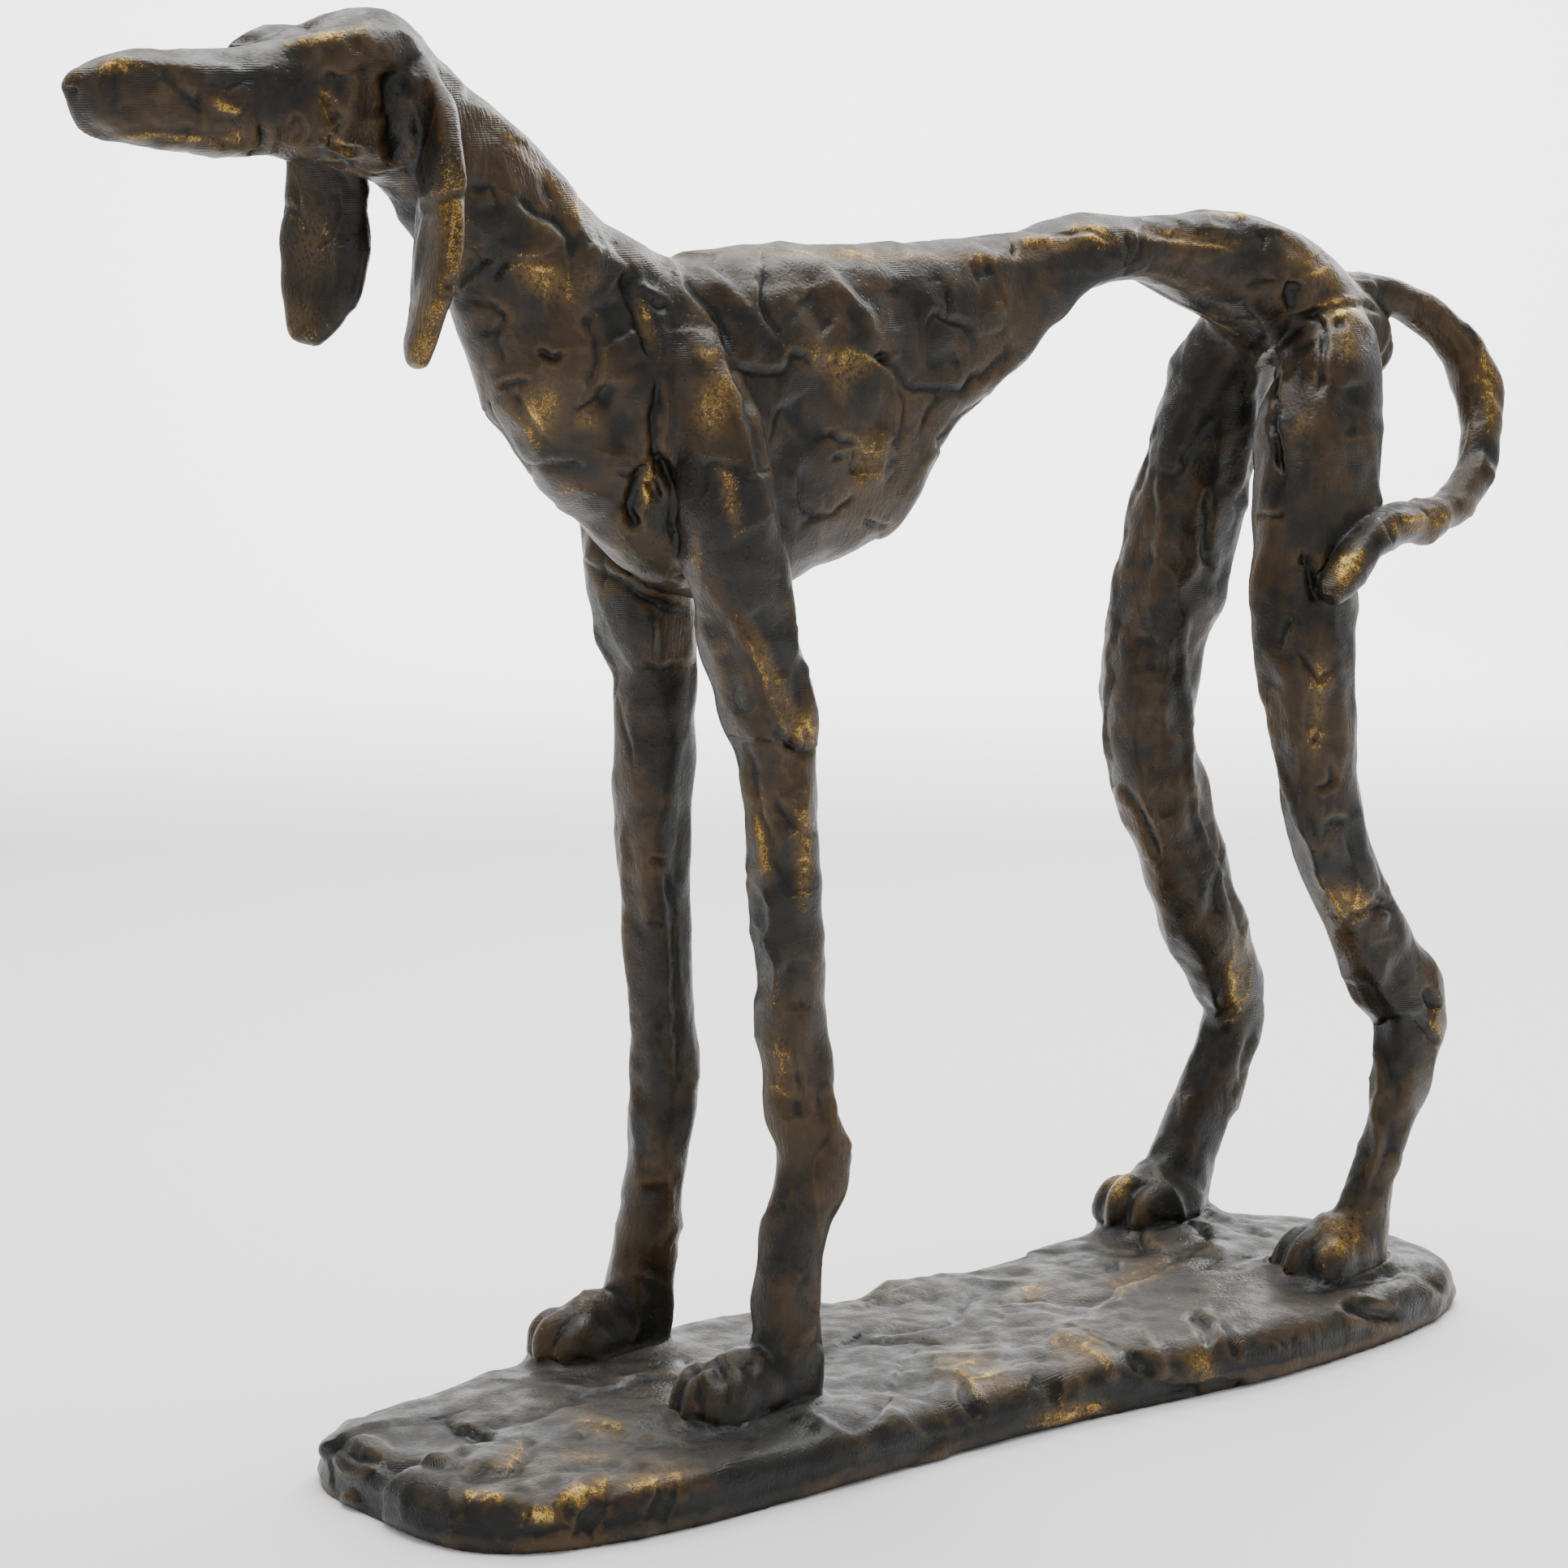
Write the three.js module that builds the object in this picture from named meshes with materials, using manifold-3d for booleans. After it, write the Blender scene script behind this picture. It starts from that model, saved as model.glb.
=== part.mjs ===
// Standing hound built up from pressed clay strips and cast in one with its base.
// Millimetres, +Z up. The head looks along -X, the tail is at +X and the hound's left
// side faces -Y. The origin is the middle of the flat underside.
import * as THREE from "three";
import Module from "manifold-3d";

const wasm = await Module();
wasm.setup();

// Driving sizes of the figure.
const FIGURE_HEIGHT = 341; // from the top of the base to the crown of the head
const FIGURE_BREADTH = 1; // sideways share: 1 keeps the stance as modelled
const LEG_THICKNESS = 1; // share of the modelled leg section
const EAR_THICKNESS = 6.6;
const TAIL_THICKNESS = 11.4;
const PAW_LENGTH = 33;
const PAW_WIDTH = 24;
const PAW_HEIGHT = 20;
const TOE_COUNT = 3;
const LUMP_DEPTH = 0.9; // how far thumbed clay stands in or out of a smooth surface
const THIN_SECTION = 6; // sections with a smaller half size are thumbed less deeply

// Driving sizes of the base, which grows with the stance.
const BASE_THICKNESS = 14;
const TOE_MARGIN = 75; // base in front of the front toes
const HEEL_MARGIN = 34; // base behind the hind heels
const NEAR_MARGIN = 16; // base beside the left paws
const FAR_MARGIN = 0; // base beside the right paws
const BASE_ROUNDING = 2.2; // how far the underside is drawn in below the bulging side
const CORNER_POWER = 4.6; // 2 would be an ellipse, large values a rectangle
const BASE_SIDES = 72;

// Waves of the base's long edges: how far they draw in, in shares of half the width,
// and where along the length they reach furthest out, in shares of half the length.
const NEAR_EDGE = { mean: 0.05, swing: 0.05, start: -0.79, period: 1.27 };
const FAR_EDGE = { mean: 0.06, swing: 0.06, start: -0.29, period: 0.85 };

// Base section from the underside up and in over the top: inset in shares of the
// rounding, height in shares of the thickness and how far the outline has shrunk.
const BASE_SECTION = [
  { inset: 1, height: 0, shrink: 1 },
  { inset: 0.3, height: 0.14, shrink: 1 },
  { inset: 0, height: 0.42, shrink: 1 },
  { inset: 0.6, height: 0.74, shrink: 1 },
  { inset: 2, height: 0.94, shrink: 1 },
  { inset: 4, height: 1, shrink: 1 },
  { inset: 4, height: 1, shrink: 0.7 },
  { inset: 4, height: 1, shrink: 0.38 },
];
const THUMBED_FROM = 0.5; // share of the thickness above which the base is uneven

// Roundness of the strips' sections: 2 is an ellipse, more is squarer.
const POWER = { torso: 2.4, neck: 2.3, head: 2.3, foreleg: 2.6, hindLeg: 2.5, tail: 2.3, ear: 3 };

// Facets along and round each strip.
const RINGS = { torso: 34, neck: 12, head: 22, foreleg: 30, hindLeg: 32, tail: 30, ear: 12 };
const SIDES = { torso: 22, neck: 16, head: 16, leg: 11, tail: 9, ear: 12 };

// Direction across each ear, level, with x to the rear and y outwards.
const EAR_FLARE = { rearward: -0.317, outward: 0.949 };

// Thumbed ripple: strength and two crossing waves, each in radians for a thousandth of
// the figure's height along x, y and z, then its phase.
const RIPPLES = [
  { strength: 0.6, waves: [[0.072, 0.116, 0.044, 0], [-0.038, 0, 0.082, 1.3]] },
  { strength: 0.5, waves: [[0.16, 0, -0.14, 0.7], [0, 0.177, 0.123, 2.1]] },
];

// Paw's heel pad and toes, in shares of the paw's length, width and height; a toe's
// width is in shares of its part of the paw. The outer toes lie back and lower.
const HEEL_PAD = { back: 0.07, rise: 0.26, long: 0.4, wide: 0.42, tall: 0.64 };
const TOE = { forward: 0.25, spread: 0.29, rise: 0.2, long: 0.26, wide: 0.62, tall: 0.56 };
const OUTER_TOE = { back: 0.07, lower: 0.06 };

const PATINA = { color: 0x3a3026, roughness: 0.55, metalness: 0.1 };

// Pose, in thousandths of the figure's height from the middle of the base's top.
// Each row is x, y, z, half the width across and half the depth of the section.
const TORSO = [
  [-372, 10, 752, 12, 20],
  [-340, 10, 739, 27, 50],
  [-300, 10, 720, 41, 84],
  [-254, 11, 714, 57, 113],
  [-199, 12, 711, 68, 126],
  [-132, 12, 717, 67, 121],
  [-88, 12, 721, 62, 116],
  [-42, 12, 728, 57, 109],
  [-20, 12, 745, 54, 92],
  [8, 12, 761, 50, 76],
  [42, 12, 775, 45, 64],
  [75, 12, 788, 40, 54],
  [108, 12, 803, 37, 42],
  [141, 12, 821, 35, 33],
  [182, 12, 828, 34, 26],
  [229, 12, 828, 35, 26],
  [279, 15, 820, 41, 36],
  [323, 15, 811, 51, 46],
  [370, 15, 792, 59, 52],
  [416, 15, 770, 57, 50],
  [457, 12, 750, 44, 41],
  [490, 9, 748, 26, 26],
];
const NECK = [
  [-469, 10, 935, 32, 38],
  [-429, 10, 902, 37, 48],
  [-389, 10, 862, 41, 56],
  [-350, 10, 813, 47, 71],
  [-305, 12, 768, 57, 91],
  [-255, 12, 727, 62, 97],
];
const HEAD = [
  [-712, 10, 947, 12, 12],
  [-702, 10, 945, 21, 21],
  [-685, 10, 944, 25, 27],
  [-664, 10, 941, 26, 31],
  [-633, 10, 939, 28, 33],
  [-598, 10, 940, 29, 35],
  [-569, 10, 941, 32, 37],
  [-543, 10, 944, 38, 44],
  [-516, 10, 949, 43, 52],
  [-487, 10, 946, 44, 57],
  [-461, 10, 936, 41, 54],
  [-437, 10, 928, 35, 41],
  [-422, 10, 924, 21, 23],
];
const LEFT_FORELEG = [
  [-256, -16, 784, 14, 14],
  [-251, -38, 752, 30, 27],
  [-243, -52, 706, 36, 32],
  [-240, -57, 665, 38, 34],
  [-226, -57, 610, 35, 35],
  [-217, -54, 560, 32, 35],
  [-196, -54, 504, 31, 34],
  [-189, -53, 457, 26, 27],
  [-185, -57, 370, 24, 24],
  [-177, -61, 255, 22, 23],
  [-174, -64, 211, 23, 23],
  [-164, -67, 173, 25, 30],
  [-185, -70, 135, 23, 23],
  [-194, -73, 94, 22, 23],
  [-199, -76, 47, 23, 25],
  [-202, -76, 0, 26, 29],
];
const RIGHT_FORELEG = [
  [-250, 40, 784, 14, 14],
  [-244, 60, 748, 28, 26],
  [-235, 72, 700, 34, 32],
  [-229, 76, 651, 35, 34],
  [-218, 72, 581, 36, 38],
  [-205, 72, 534, 29, 31],
  [-202, 76, 481, 27, 28],
  [-198, 83, 419, 27, 28],
  [-189, 90, 349, 24, 25],
  [-180, 93, 238, 23, 24],
  [-177, 95, 199, 23, 24],
  [-182, 99, 147, 22, 23],
  [-192, 102, 100, 21, 22],
  [-198, 106, 56, 23, 25],
  [-202, 109, 0, 26, 29],
];
const LEFT_HIND_LEG = [
  [412, -6, 784, 18, 18],
  [400, -30, 757, 34, 36],
  [382, -46, 725, 39, 48],
  [364, -54, 690, 41, 54],
  [350, -62, 642, 41, 54],
  [337, -67, 578, 38, 47],
  [329, -75, 537, 37, 43],
  [327, -81, 493, 34, 37],
  [333, -85, 440, 31, 32],
  [340, -85, 387, 30, 32],
  [361, -85, 337, 29, 32],
  [387, -86, 296, 28, 30],
  [416, -89, 249, 28, 34],
  [446, -91, 214, 25, 35],
  [438, -94, 182, 22, 28],
  [425, -95, 141, 19, 23],
  [409, -93, 97, 17, 20],
  [397, -88, 56, 18, 24],
  [390, -84, 0, 23, 32],
];
const RIGHT_HIND_LEG = [
  [400, 30, 784, 18, 18],
  [388, 56, 757, 33, 34],
  [380, 72, 722, 37, 40],
  [374, 82, 685, 39, 44],
  [367, 92, 633, 40, 46],
  [358, 100, 563, 40, 48],
  [349, 109, 510, 37, 41],
  [343, 114, 452, 35, 38],
  [346, 117, 416, 35, 38],
  [359, 117, 377, 34, 40],
  [384, 117, 323, 29, 37],
  [405, 118, 270, 29, 38],
  [436, 121, 223, 26, 36],
  [458, 124, 182, 23, 30],
  [453, 126, 150, 22, 28],
  [435, 128, 114, 20, 27],
  [415, 128, 79, 21, 28],
  [396, 126, 47, 24, 32],
  [388, 122, 0, 25, 36],
];
const TAIL = [
  [440, 9, 786, 21, 21],
  [481, 3, 789, 18, 17],
  [517, -8, 776, 17, 18],
  [550, -23, 749, 17, 18],
  [562, -38, 713, 18, 20],
  [557, -50, 675, 17, 20],
  [537, -63, 645, 17, 18],
  [502, -76, 622, 17, 17],
  [455, -91, 611, 16, 17],
  [402, -104, 610, 16, 17],
  [358, -113, 600, 16, 15],
  [326, -119, 578, 15, 15],
  [305, -120, 560, 12, 12],
];
const TAIL_DEPTH = 33.4; // full depth of the tail's section in most rows above
const LEFT_EAR = [
  [-472, -20, 958, 15, 11],
  [-470, -32, 940, 26, 12],
  [-468, -44, 916, 34, 11],
  [-475, -53, 870, 36, 10],
  [-482, -56, 831, 38, 11],
  [-487, -56, 803, 32, 10],
  [-494, -54, 781, 20, 9],
  [-498, -53, 766, 11, 6],
];
const RIGHT_EAR = [
  [-494, 38, 974, 15, 11],
  [-490, 53, 952, 26, 12],
  [-486, 65, 919, 33, 11],
  [-485, 72, 874, 36, 10],
  [-487, 73, 833, 38, 10],
  [-491, 73, 809, 33, 10],
  [-499, 72, 787, 23, 9],
  [-505, 70, 777, 12, 6],
];
const EAR_DEPTH = 20; // full depth of an ear's section in most rows above

// Rounded lumps: x, y, z, then half length, half breadth and half height.
const LUMPS = {
  nose: [-704, 10, 951, 18, 17, 15],
  rightBrow: [-530, 45, 972, 50, 21, 20],
  leftBrow: [-516, -20, 968, 44, 18, 22],
};

// Middle of each paw, x and y, and its size beside the others.
const PAWS = [
  [-246, -76, 1],
  [-243, 109, 1],
  [365, -83, 1],
  [361, 121, 1.12],
];

const share = FIGURE_HEIGHT / 1000;
const pawXs = PAWS.map((paw) => paw[0] * share);
const pawYs = PAWS.map((paw) => paw[1] * share * FIGURE_BREADTH);
const frontEnd = Math.min(...pawXs) - PAW_LENGTH / 2 - TOE_MARGIN;
const rearEnd = Math.max(...pawXs) + PAW_LENGTH / 2 + HEEL_MARGIN;
const nearSide = Math.min(...pawYs) - PAW_WIDTH / 2 - NEAR_MARGIN;
const farSide = Math.max(...pawYs) + PAW_WIDTH / 2 + FAR_MARGIN;
const middleX = (frontEnd + rearEnd) / 2;
const middleY = (nearSide + farSide) / 2;
const halfLength = (rearEnd - frontEnd) / 2;
const halfWidth = (farSide - nearSide) / 2;

/** Place of a pose point in millimetres, over the middle of the base. */
function place([x, y, z]) {
  return new THREE.Vector3(
    x * share - middleX,
    y * share * FIGURE_BREADTH - middleY,
    z * share + BASE_THICKNESS,
  );
}

/** Smooth unevenness of thumbed clay between about -1 and 1. */
function unevenness({ x, y, z }) {
  let total = 0;
  for (const { strength, waves } of RIPPLES) {
    const crossing = waves.map(([a, b, c, phase]) => Math.sin((a * x + b * y + c * z) / share + phase));
    total += strength * crossing[0] * crossing[1];
  }
  return total;
}

/** Value of one column of a station table at t from 0 to 1, on a Catmull-Rom curve. */
function along(rows, column, t) {
  const last = rows.length - 1;
  const i = Math.min(Math.floor(t * last), last - 1);
  const u = t * last - i;
  const v = [i - 1, i, i + 1, i + 2].map((k) => rows[Math.min(Math.max(k, 0), last)][column]);
  const slopeIn = (v[2] - v[0]) / 2;
  const slopeOut = (v[3] - v[1]) / 2;
  const rise = v[2] - v[1];
  const square = 3 * rise - 2 * slopeIn - slopeOut;
  const cube = slopeIn + slopeOut - 2 * rise;
  return v[1] + u * (slopeIn + u * (square + u * cube));
}

/** Closed solid from points and triangles. */
function solidOf(points, triangles) {
  const mesh = new wasm.Mesh({
    numProp: 3,
    vertProperties: new Float32Array(points.flatMap((p) => [p.x, p.y, p.z])),
    triVerts: new Uint32Array(triangles.flat()),
  });
  return new wasm.Manifold(mesh);
}

/** Skin over rings of equal count, closed by a point at each end. */
function skin(rings, startPoint, endPoint) {
  const count = rings[0].length;
  const points = [startPoint, ...rings.flat(), endPoint];
  const end = points.length - 1;
  const at = (ring, k) => 1 + ring * count + (k % count);
  const triangles = [];
  for (let k = 0; k < count; k += 1) {
    triangles.push([0, at(0, k + 1), at(0, k)]);
    triangles.push([end, at(rings.length - 1, k), at(rings.length - 1, k + 1)]);
    for (let ring = 0; ring < rings.length - 1; ring += 1) {
      triangles.push([at(ring, k), at(ring, k + 1), at(ring + 1, k + 1)]);
      triangles.push([at(ring, k), at(ring + 1, k + 1), at(ring + 1, k)]);
    }
  }
  return solidOf(points, triangles);
}

/** Cosine or sine drawn out towards a square, for sections squarer than an ellipse. */
function squared(value, power) {
  return Math.sign(value) * Math.abs(value) ** (2 / power);
}

/**
 * Clay strip through a table of stations. The section is rounder for power 2 and
 * squarer above; `across` is the direction in which its width is measured. Sections
 * stand square to the strip's own line, or to `facing` where that is given.
 */
function strip(rows, ringCount, sides, power, options = {}) {
  const { across = new THREE.Vector3(0, 1, 0), swell = 1, thick = 1, facing } = options;
  const centre = (t) => place([0, 1, 2].map((column) => along(rows, column, t)));
  const ahead = 0.3 / ringCount;
  const rings = [];
  for (let i = 0; i < ringCount; i += 1) {
    const t = i / (ringCount - 1);
    const middle = centre(t);
    const heading = centre(Math.min(t + ahead, 1)).sub(centre(Math.max(t - ahead, 0))).normalize();
    const tangent = facing ?? heading;
    const side = across.clone().addScaledVector(tangent, -across.dot(tangent)).normalize();
    const up = tangent.clone().cross(side);
    const sectionWidth = along(rows, 3, t) * share * swell;
    const sectionDepth = along(rows, 4, t) * share * swell * thick;
    const ring = [];
    for (let k = 0; k < sides; k += 1) {
      const angle = (2 * Math.PI * (k + 0.5 * (i % 2))) / sides;
      const c = squared(Math.cos(angle), power);
      const s = squared(Math.sin(angle), power);
      const out = side.clone().multiplyScalar(c * sectionWidth).addScaledVector(up, s * sectionDepth);
      const depth = LUMP_DEPTH * Math.min(1, out.length() / THIN_SECTION);
      const lump = depth * unevenness(middle.clone().add(out));
      ring.push(middle.clone().add(out).addScaledVector(out.normalize(), lump));
    }
    rings.push(ring);
  }
  return skin(rings, centre(0), centre(1));
}

/** Ellipsoid about a place, with three half sizes. */
function ball(middle, halves, segments = 12) {
  return wasm.Manifold.sphere(1, segments).scale(halves).translate([middle.x, middle.y, middle.z]);
}

/** Lump of clay from its place and half sizes in thousandths of the height. */
function lumpOf([x, y, z, ...halves]) {
  return ball(place([x, y, z]), halves.map((half) => half * share));
}

/** Paw pointing forward, toes fanned over its front. */
function paw([x, y, size]) {
  const ground = place([x, y, 0]);
  const [long, wide, tall] = [PAW_LENGTH, PAW_WIDTH, PAW_HEIGHT].map((measure) => measure * size);
  const heel = ground.clone().add(new THREE.Vector3(long * HEEL_PAD.back, 0, tall * HEEL_PAD.rise));
  const parts = [ball(heel, [long * HEEL_PAD.long, wide * HEEL_PAD.wide, tall * HEEL_PAD.tall], 16)];
  for (let i = 0; i < TOE_COUNT; i += 1) {
    const fan = TOE_COUNT > 1 ? (2 * i) / (TOE_COUNT - 1) - 1 : 0;
    const forward = TOE.forward - OUTER_TOE.back * fan * fan;
    const height = TOE.tall - OUTER_TOE.lower * fan * fan;
    const step = new THREE.Vector3(-long * forward, fan * wide * TOE.spread, tall * TOE.rise);
    const halves = [long * TOE.long, (wide / TOE_COUNT) * TOE.wide, tall * height];
    parts.push(ball(ground.clone().add(step), halves));
  }
  return wasm.Manifold.union(parts);
}

/** Distance from the middle of the base to its rounded-rectangle outline, at an angle. */
function baseReach(angle) {
  const c = Math.abs(Math.cos(angle) / halfLength) ** CORNER_POWER;
  const s = Math.abs(Math.sin(angle) / halfWidth) ** CORNER_POWER;
  return (c + s) ** (-1 / CORNER_POWER);
}

/** Thumbed slab under the paws: flat below, bulging at the side, uneven on top. */
function baseSlab() {
  const rings = BASE_SECTION.map(({ inset, height, shrink }) => {
    const ring = [];
    for (let k = 0; k < BASE_SIDES; k += 1) {
      // Equal steps along the outline rather than equal angles, so the long sides are even.
      const turn = (2 * Math.PI * k) / BASE_SIDES;
      const angle = Math.atan2(Math.sin(turn) * halfWidth, Math.cos(turn) * halfLength);
      const reach = baseReach(angle) - inset * BASE_ROUNDING;
      const point = new THREE.Vector3(Math.cos(angle) * reach, Math.sin(angle) * reach, 0);
      const { mean, swing, start, period } = point.y < 0 ? NEAR_EDGE : FAR_EDGE;
      const turns = (point.x / halfLength - start) / period;
      point.y *= 1 - mean + swing * Math.cos(2 * Math.PI * turns);
      point.multiplyScalar(shrink);
      point.z = height * BASE_THICKNESS;
      if (height > THUMBED_FROM) point.z += LUMP_DEPTH * unevenness(point);
      ring.push(point);
    }
    return ring;
  });
  const under = new THREE.Vector3(0, 0, 0);
  const over = new THREE.Vector3(0, 0, BASE_THICKNESS);
  return skin(rings, under, over);
}

/** One solid: the hound grown together with its base. */
function sculpture() {
  const lengthwise = { facing: new THREE.Vector3(1, 0, 0) };
  const leg = { swell: LEG_THICKNESS };
  const tail = { swell: TAIL_THICKNESS / (TAIL_DEPTH * share) };
  const thick = EAR_THICKNESS / (EAR_DEPTH * share);
  const leftEar = { thick, across: new THREE.Vector3(EAR_FLARE.rearward, -EAR_FLARE.outward, 0) };
  const rightEar = { thick, across: new THREE.Vector3(EAR_FLARE.rearward, EAR_FLARE.outward, 0) };
  const parts = [
    baseSlab(),
    strip(TORSO, RINGS.torso, SIDES.torso, POWER.torso, lengthwise),
    strip(NECK, RINGS.neck, SIDES.neck, POWER.neck),
    strip(HEAD, RINGS.head, SIDES.head, POWER.head, lengthwise),
    strip(LEFT_FORELEG, RINGS.foreleg, SIDES.leg, POWER.foreleg, leg),
    strip(RIGHT_FORELEG, RINGS.foreleg, SIDES.leg, POWER.foreleg, leg),
    strip(LEFT_HIND_LEG, RINGS.hindLeg, SIDES.leg, POWER.hindLeg, leg),
    strip(RIGHT_HIND_LEG, RINGS.hindLeg, SIDES.leg, POWER.hindLeg, leg),
    strip(TAIL, RINGS.tail, SIDES.tail, POWER.tail, tail),
    strip(LEFT_EAR, RINGS.ear, SIDES.ear, POWER.ear, leftEar),
    strip(RIGHT_EAR, RINGS.ear, SIDES.ear, POWER.ear, rightEar),
    ...Object.values(LUMPS).map(lumpOf),
    ...PAWS.map(paw),
  ];
  // Strips pressed together leave no pockets inside: the outer skin alone is the casting.
  const shells = wasm.Manifold.union(parts).decompose();
  return shells.reduce((best, shell) => (shell.volume() > best.volume() ? shell : best));
}

/** Joined solid as a shaded mesh. */
function meshOf(solid, name) {
  const { vertProperties, triVerts } = solid.getMesh();
  const geometry = new THREE.BufferGeometry();
  geometry.setAttribute("position", new THREE.BufferAttribute(new Float32Array(vertProperties), 3));
  geometry.setIndex(new THREE.BufferAttribute(new Uint32Array(triVerts), 1));
  geometry.computeVertexNormals();
  const mesh = new THREE.Mesh(geometry, new THREE.MeshStandardMaterial(PATINA));
  mesh.name = name;
  return mesh;
}

const root = new THREE.Group();
root.name = "dog_sculpture_part";
root.add(meshOf(sculpture(), "dog_sculpture"));

export default root;
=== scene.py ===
"""Standing long-legged hound cast in one with its base, in a dark gold-rubbed patina.

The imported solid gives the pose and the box. This script grows the pressed-clay skin over
it, then paints, lights and frames it.
"""

import itertools
import logging
import math
from collections.abc import Iterator
from dataclasses import dataclass
from enum import Enum

import bpy
import numpy as np
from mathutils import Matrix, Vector
from mathutils.kdtree import KDTree


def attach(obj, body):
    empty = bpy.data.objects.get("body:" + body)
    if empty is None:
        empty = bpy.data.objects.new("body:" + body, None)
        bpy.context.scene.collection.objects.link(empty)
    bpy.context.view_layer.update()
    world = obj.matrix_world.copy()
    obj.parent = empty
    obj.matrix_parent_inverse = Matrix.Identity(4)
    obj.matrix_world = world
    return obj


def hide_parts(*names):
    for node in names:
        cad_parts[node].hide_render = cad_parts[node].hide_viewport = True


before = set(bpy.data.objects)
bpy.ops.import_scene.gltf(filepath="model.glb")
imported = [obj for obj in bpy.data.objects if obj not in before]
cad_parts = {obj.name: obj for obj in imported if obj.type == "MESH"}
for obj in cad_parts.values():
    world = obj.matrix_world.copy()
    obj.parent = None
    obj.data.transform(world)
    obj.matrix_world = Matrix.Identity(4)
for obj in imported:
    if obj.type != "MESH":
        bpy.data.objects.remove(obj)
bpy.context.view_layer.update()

LOG = logging.getLogger("hound")
MM = 0.001
NODE = "dog_sculpture"
BODY = "root"


def lattice_random(cell: np.ndarray, seed: int) -> np.ndarray:
    """Random number from 0 to 1 for each whole-number lattice point.

    Args:
        cell: Lattice points, shape (n, 3), of whole numbers.
        seed: Picks one of many unlike random fields.

    Returns:
        One number for each point, always the same for the same point and seed.
    """
    c = cell.astype(np.int64)
    h = (c[:, 0] * 374761393 + c[:, 1] * 668265263 + c[:, 2] * 1274126177 + seed * 974634777)
    h &= 0xFFFFFFFF
    h = ((h ^ (h >> 13)) * 1274126177) & 0xFFFFFFFF
    h ^= h >> 16
    return (h & 0xFFFFFF) / float(0x1000000)


def noise(points: np.ndarray, size: float, seed: int) -> np.ndarray:
    """Smooth value noise from -1 to 1.

    Args:
        points: Places in millimetres, shape (n, 3).
        size: Width of one lump, in millimetres.
        seed: Picks the field.

    Returns:
        One value for each point.
    """
    p = points / size
    base = np.floor(p)
    u = p - base
    u = u * u * (3 - 2 * u)
    total = np.zeros(len(p))
    for dx in (0, 1):
        for dy in (0, 1):
            for dz in (0, 1):
                weight = (
                    (u[:, 0] if dx else 1 - u[:, 0])
                    * (u[:, 1] if dy else 1 - u[:, 1])
                    * (u[:, 2] if dz else 1 - u[:, 2])
                )
                total += weight * lattice_random(base + (dx, dy, dz), seed)
    return total * 2 - 1


def warp(points: np.ndarray, size: float, reach: float, seed: int) -> np.ndarray:
    """Points moved about by smooth noise, so that patterns on them wander.

    Args:
        points: Places in millimetres, shape (n, 3).
        size: Width of one lump of the noise.
        reach: How far a point may move.
        seed: Picks the field.

    Returns:
        The moved points.
    """
    moved = [noise(points, size, seed + k) for k in range(3)]
    return points + reach * np.stack(moved, 1)


def blend(low: float, high: float, values: np.ndarray) -> np.ndarray:
    """Smooth rise from 0 at low to 1 at high.

    Args:
        low: Value where the rise starts.
        high: Value where it ends; it may be the smaller one, for a fall.
        values: What is compared.

    Returns:
        Shares from 0 to 1.
    """
    t = np.clip((values - low) / (high - low), 0.0, 1.0)
    return t * t * (3 - 2 * t)


def scattered(points: np.ndarray, size: float, seed: int) -> Iterator[tuple]:
    """Goes through the scattered seeds round each point.

    Args:
        points: Places, shape (n, 3).
        size: Mean distance between seeds.
        seed: Picks the scatter.

    Yields:
        The seeds' lattice cells and each point's offset from its seed, in cell sizes.
    """
    p = points / size
    home = np.floor(p)
    for step in itertools.product((-1, 0, 1), repeat=3):
        cell = home + step
        jitter = np.stack([lattice_random(cell, seed + k) for k in range(3)], 1)
        yield cell, p - cell - jitter


def lean(cell: np.ndarray, away: np.ndarray, seed: int) -> np.ndarray:
    """Tilt of each cell's surface, a random one for each cell.

    Args:
        cell: Lattice cells of the seeds.
        away: Offsets from the seeds.
        seed: Picks the tilts.

    Returns:
        Height that the tilt adds at each offset, in cell sizes.
    """
    slope = np.stack([lattice_random(cell, seed + k) - 0.5 for k in range(3)], 1)
    return (away * slope).sum(1)


def presses(points: np.ndarray, size: float, seed: int) -> np.ndarray:
    """Thumb presses: hollow facets that meet in crisp ridges.

    Args:
        points: Places in millimetres, shape (n, 3).
        size: Mean width of a facet.
        seed: Picks the pattern.

    Returns:
        Heights round 0, about -0.3 in a hollow and 0.4 on a ridge.
    """
    low = np.full(len(points), np.inf)
    for cell, away in scattered(points, size, seed):
        bowl = (away**2).sum(1) + 0.3 * lattice_random(cell, seed + 7) + lean(cell, away, seed + 11)
        low = np.minimum(low, bowl)
    return low - 0.25


def slabs(points: np.ndarray, size: float, seed: int, steepness: float) -> np.ndarray:
    """Overlapping pads of clay with stepped edges.

    Args:
        points: Places in millimetres, shape (n, 3).
        size: Mean width of a pad.
        seed: Picks the pattern.
        steepness: How sharply a pad's edge falls off.

    Returns:
        Heights round 0, from about -0.5 to 0.5.
    """
    top = np.full(len(points), -np.inf)
    for cell, away in scattered(points, size, seed):
        reach = 0.5 + 0.35 * lattice_random(cell, seed + 7)
        beyond = np.maximum(0.0, np.sqrt((away**2).sum(1)) - reach)
        pad = lattice_random(cell, seed + 13) + 0.7 * lean(cell, away, seed + 17)
        top = np.maximum(top, pad - steepness * beyond**2)
    return np.maximum(top, 0.0) - 0.6


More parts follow.
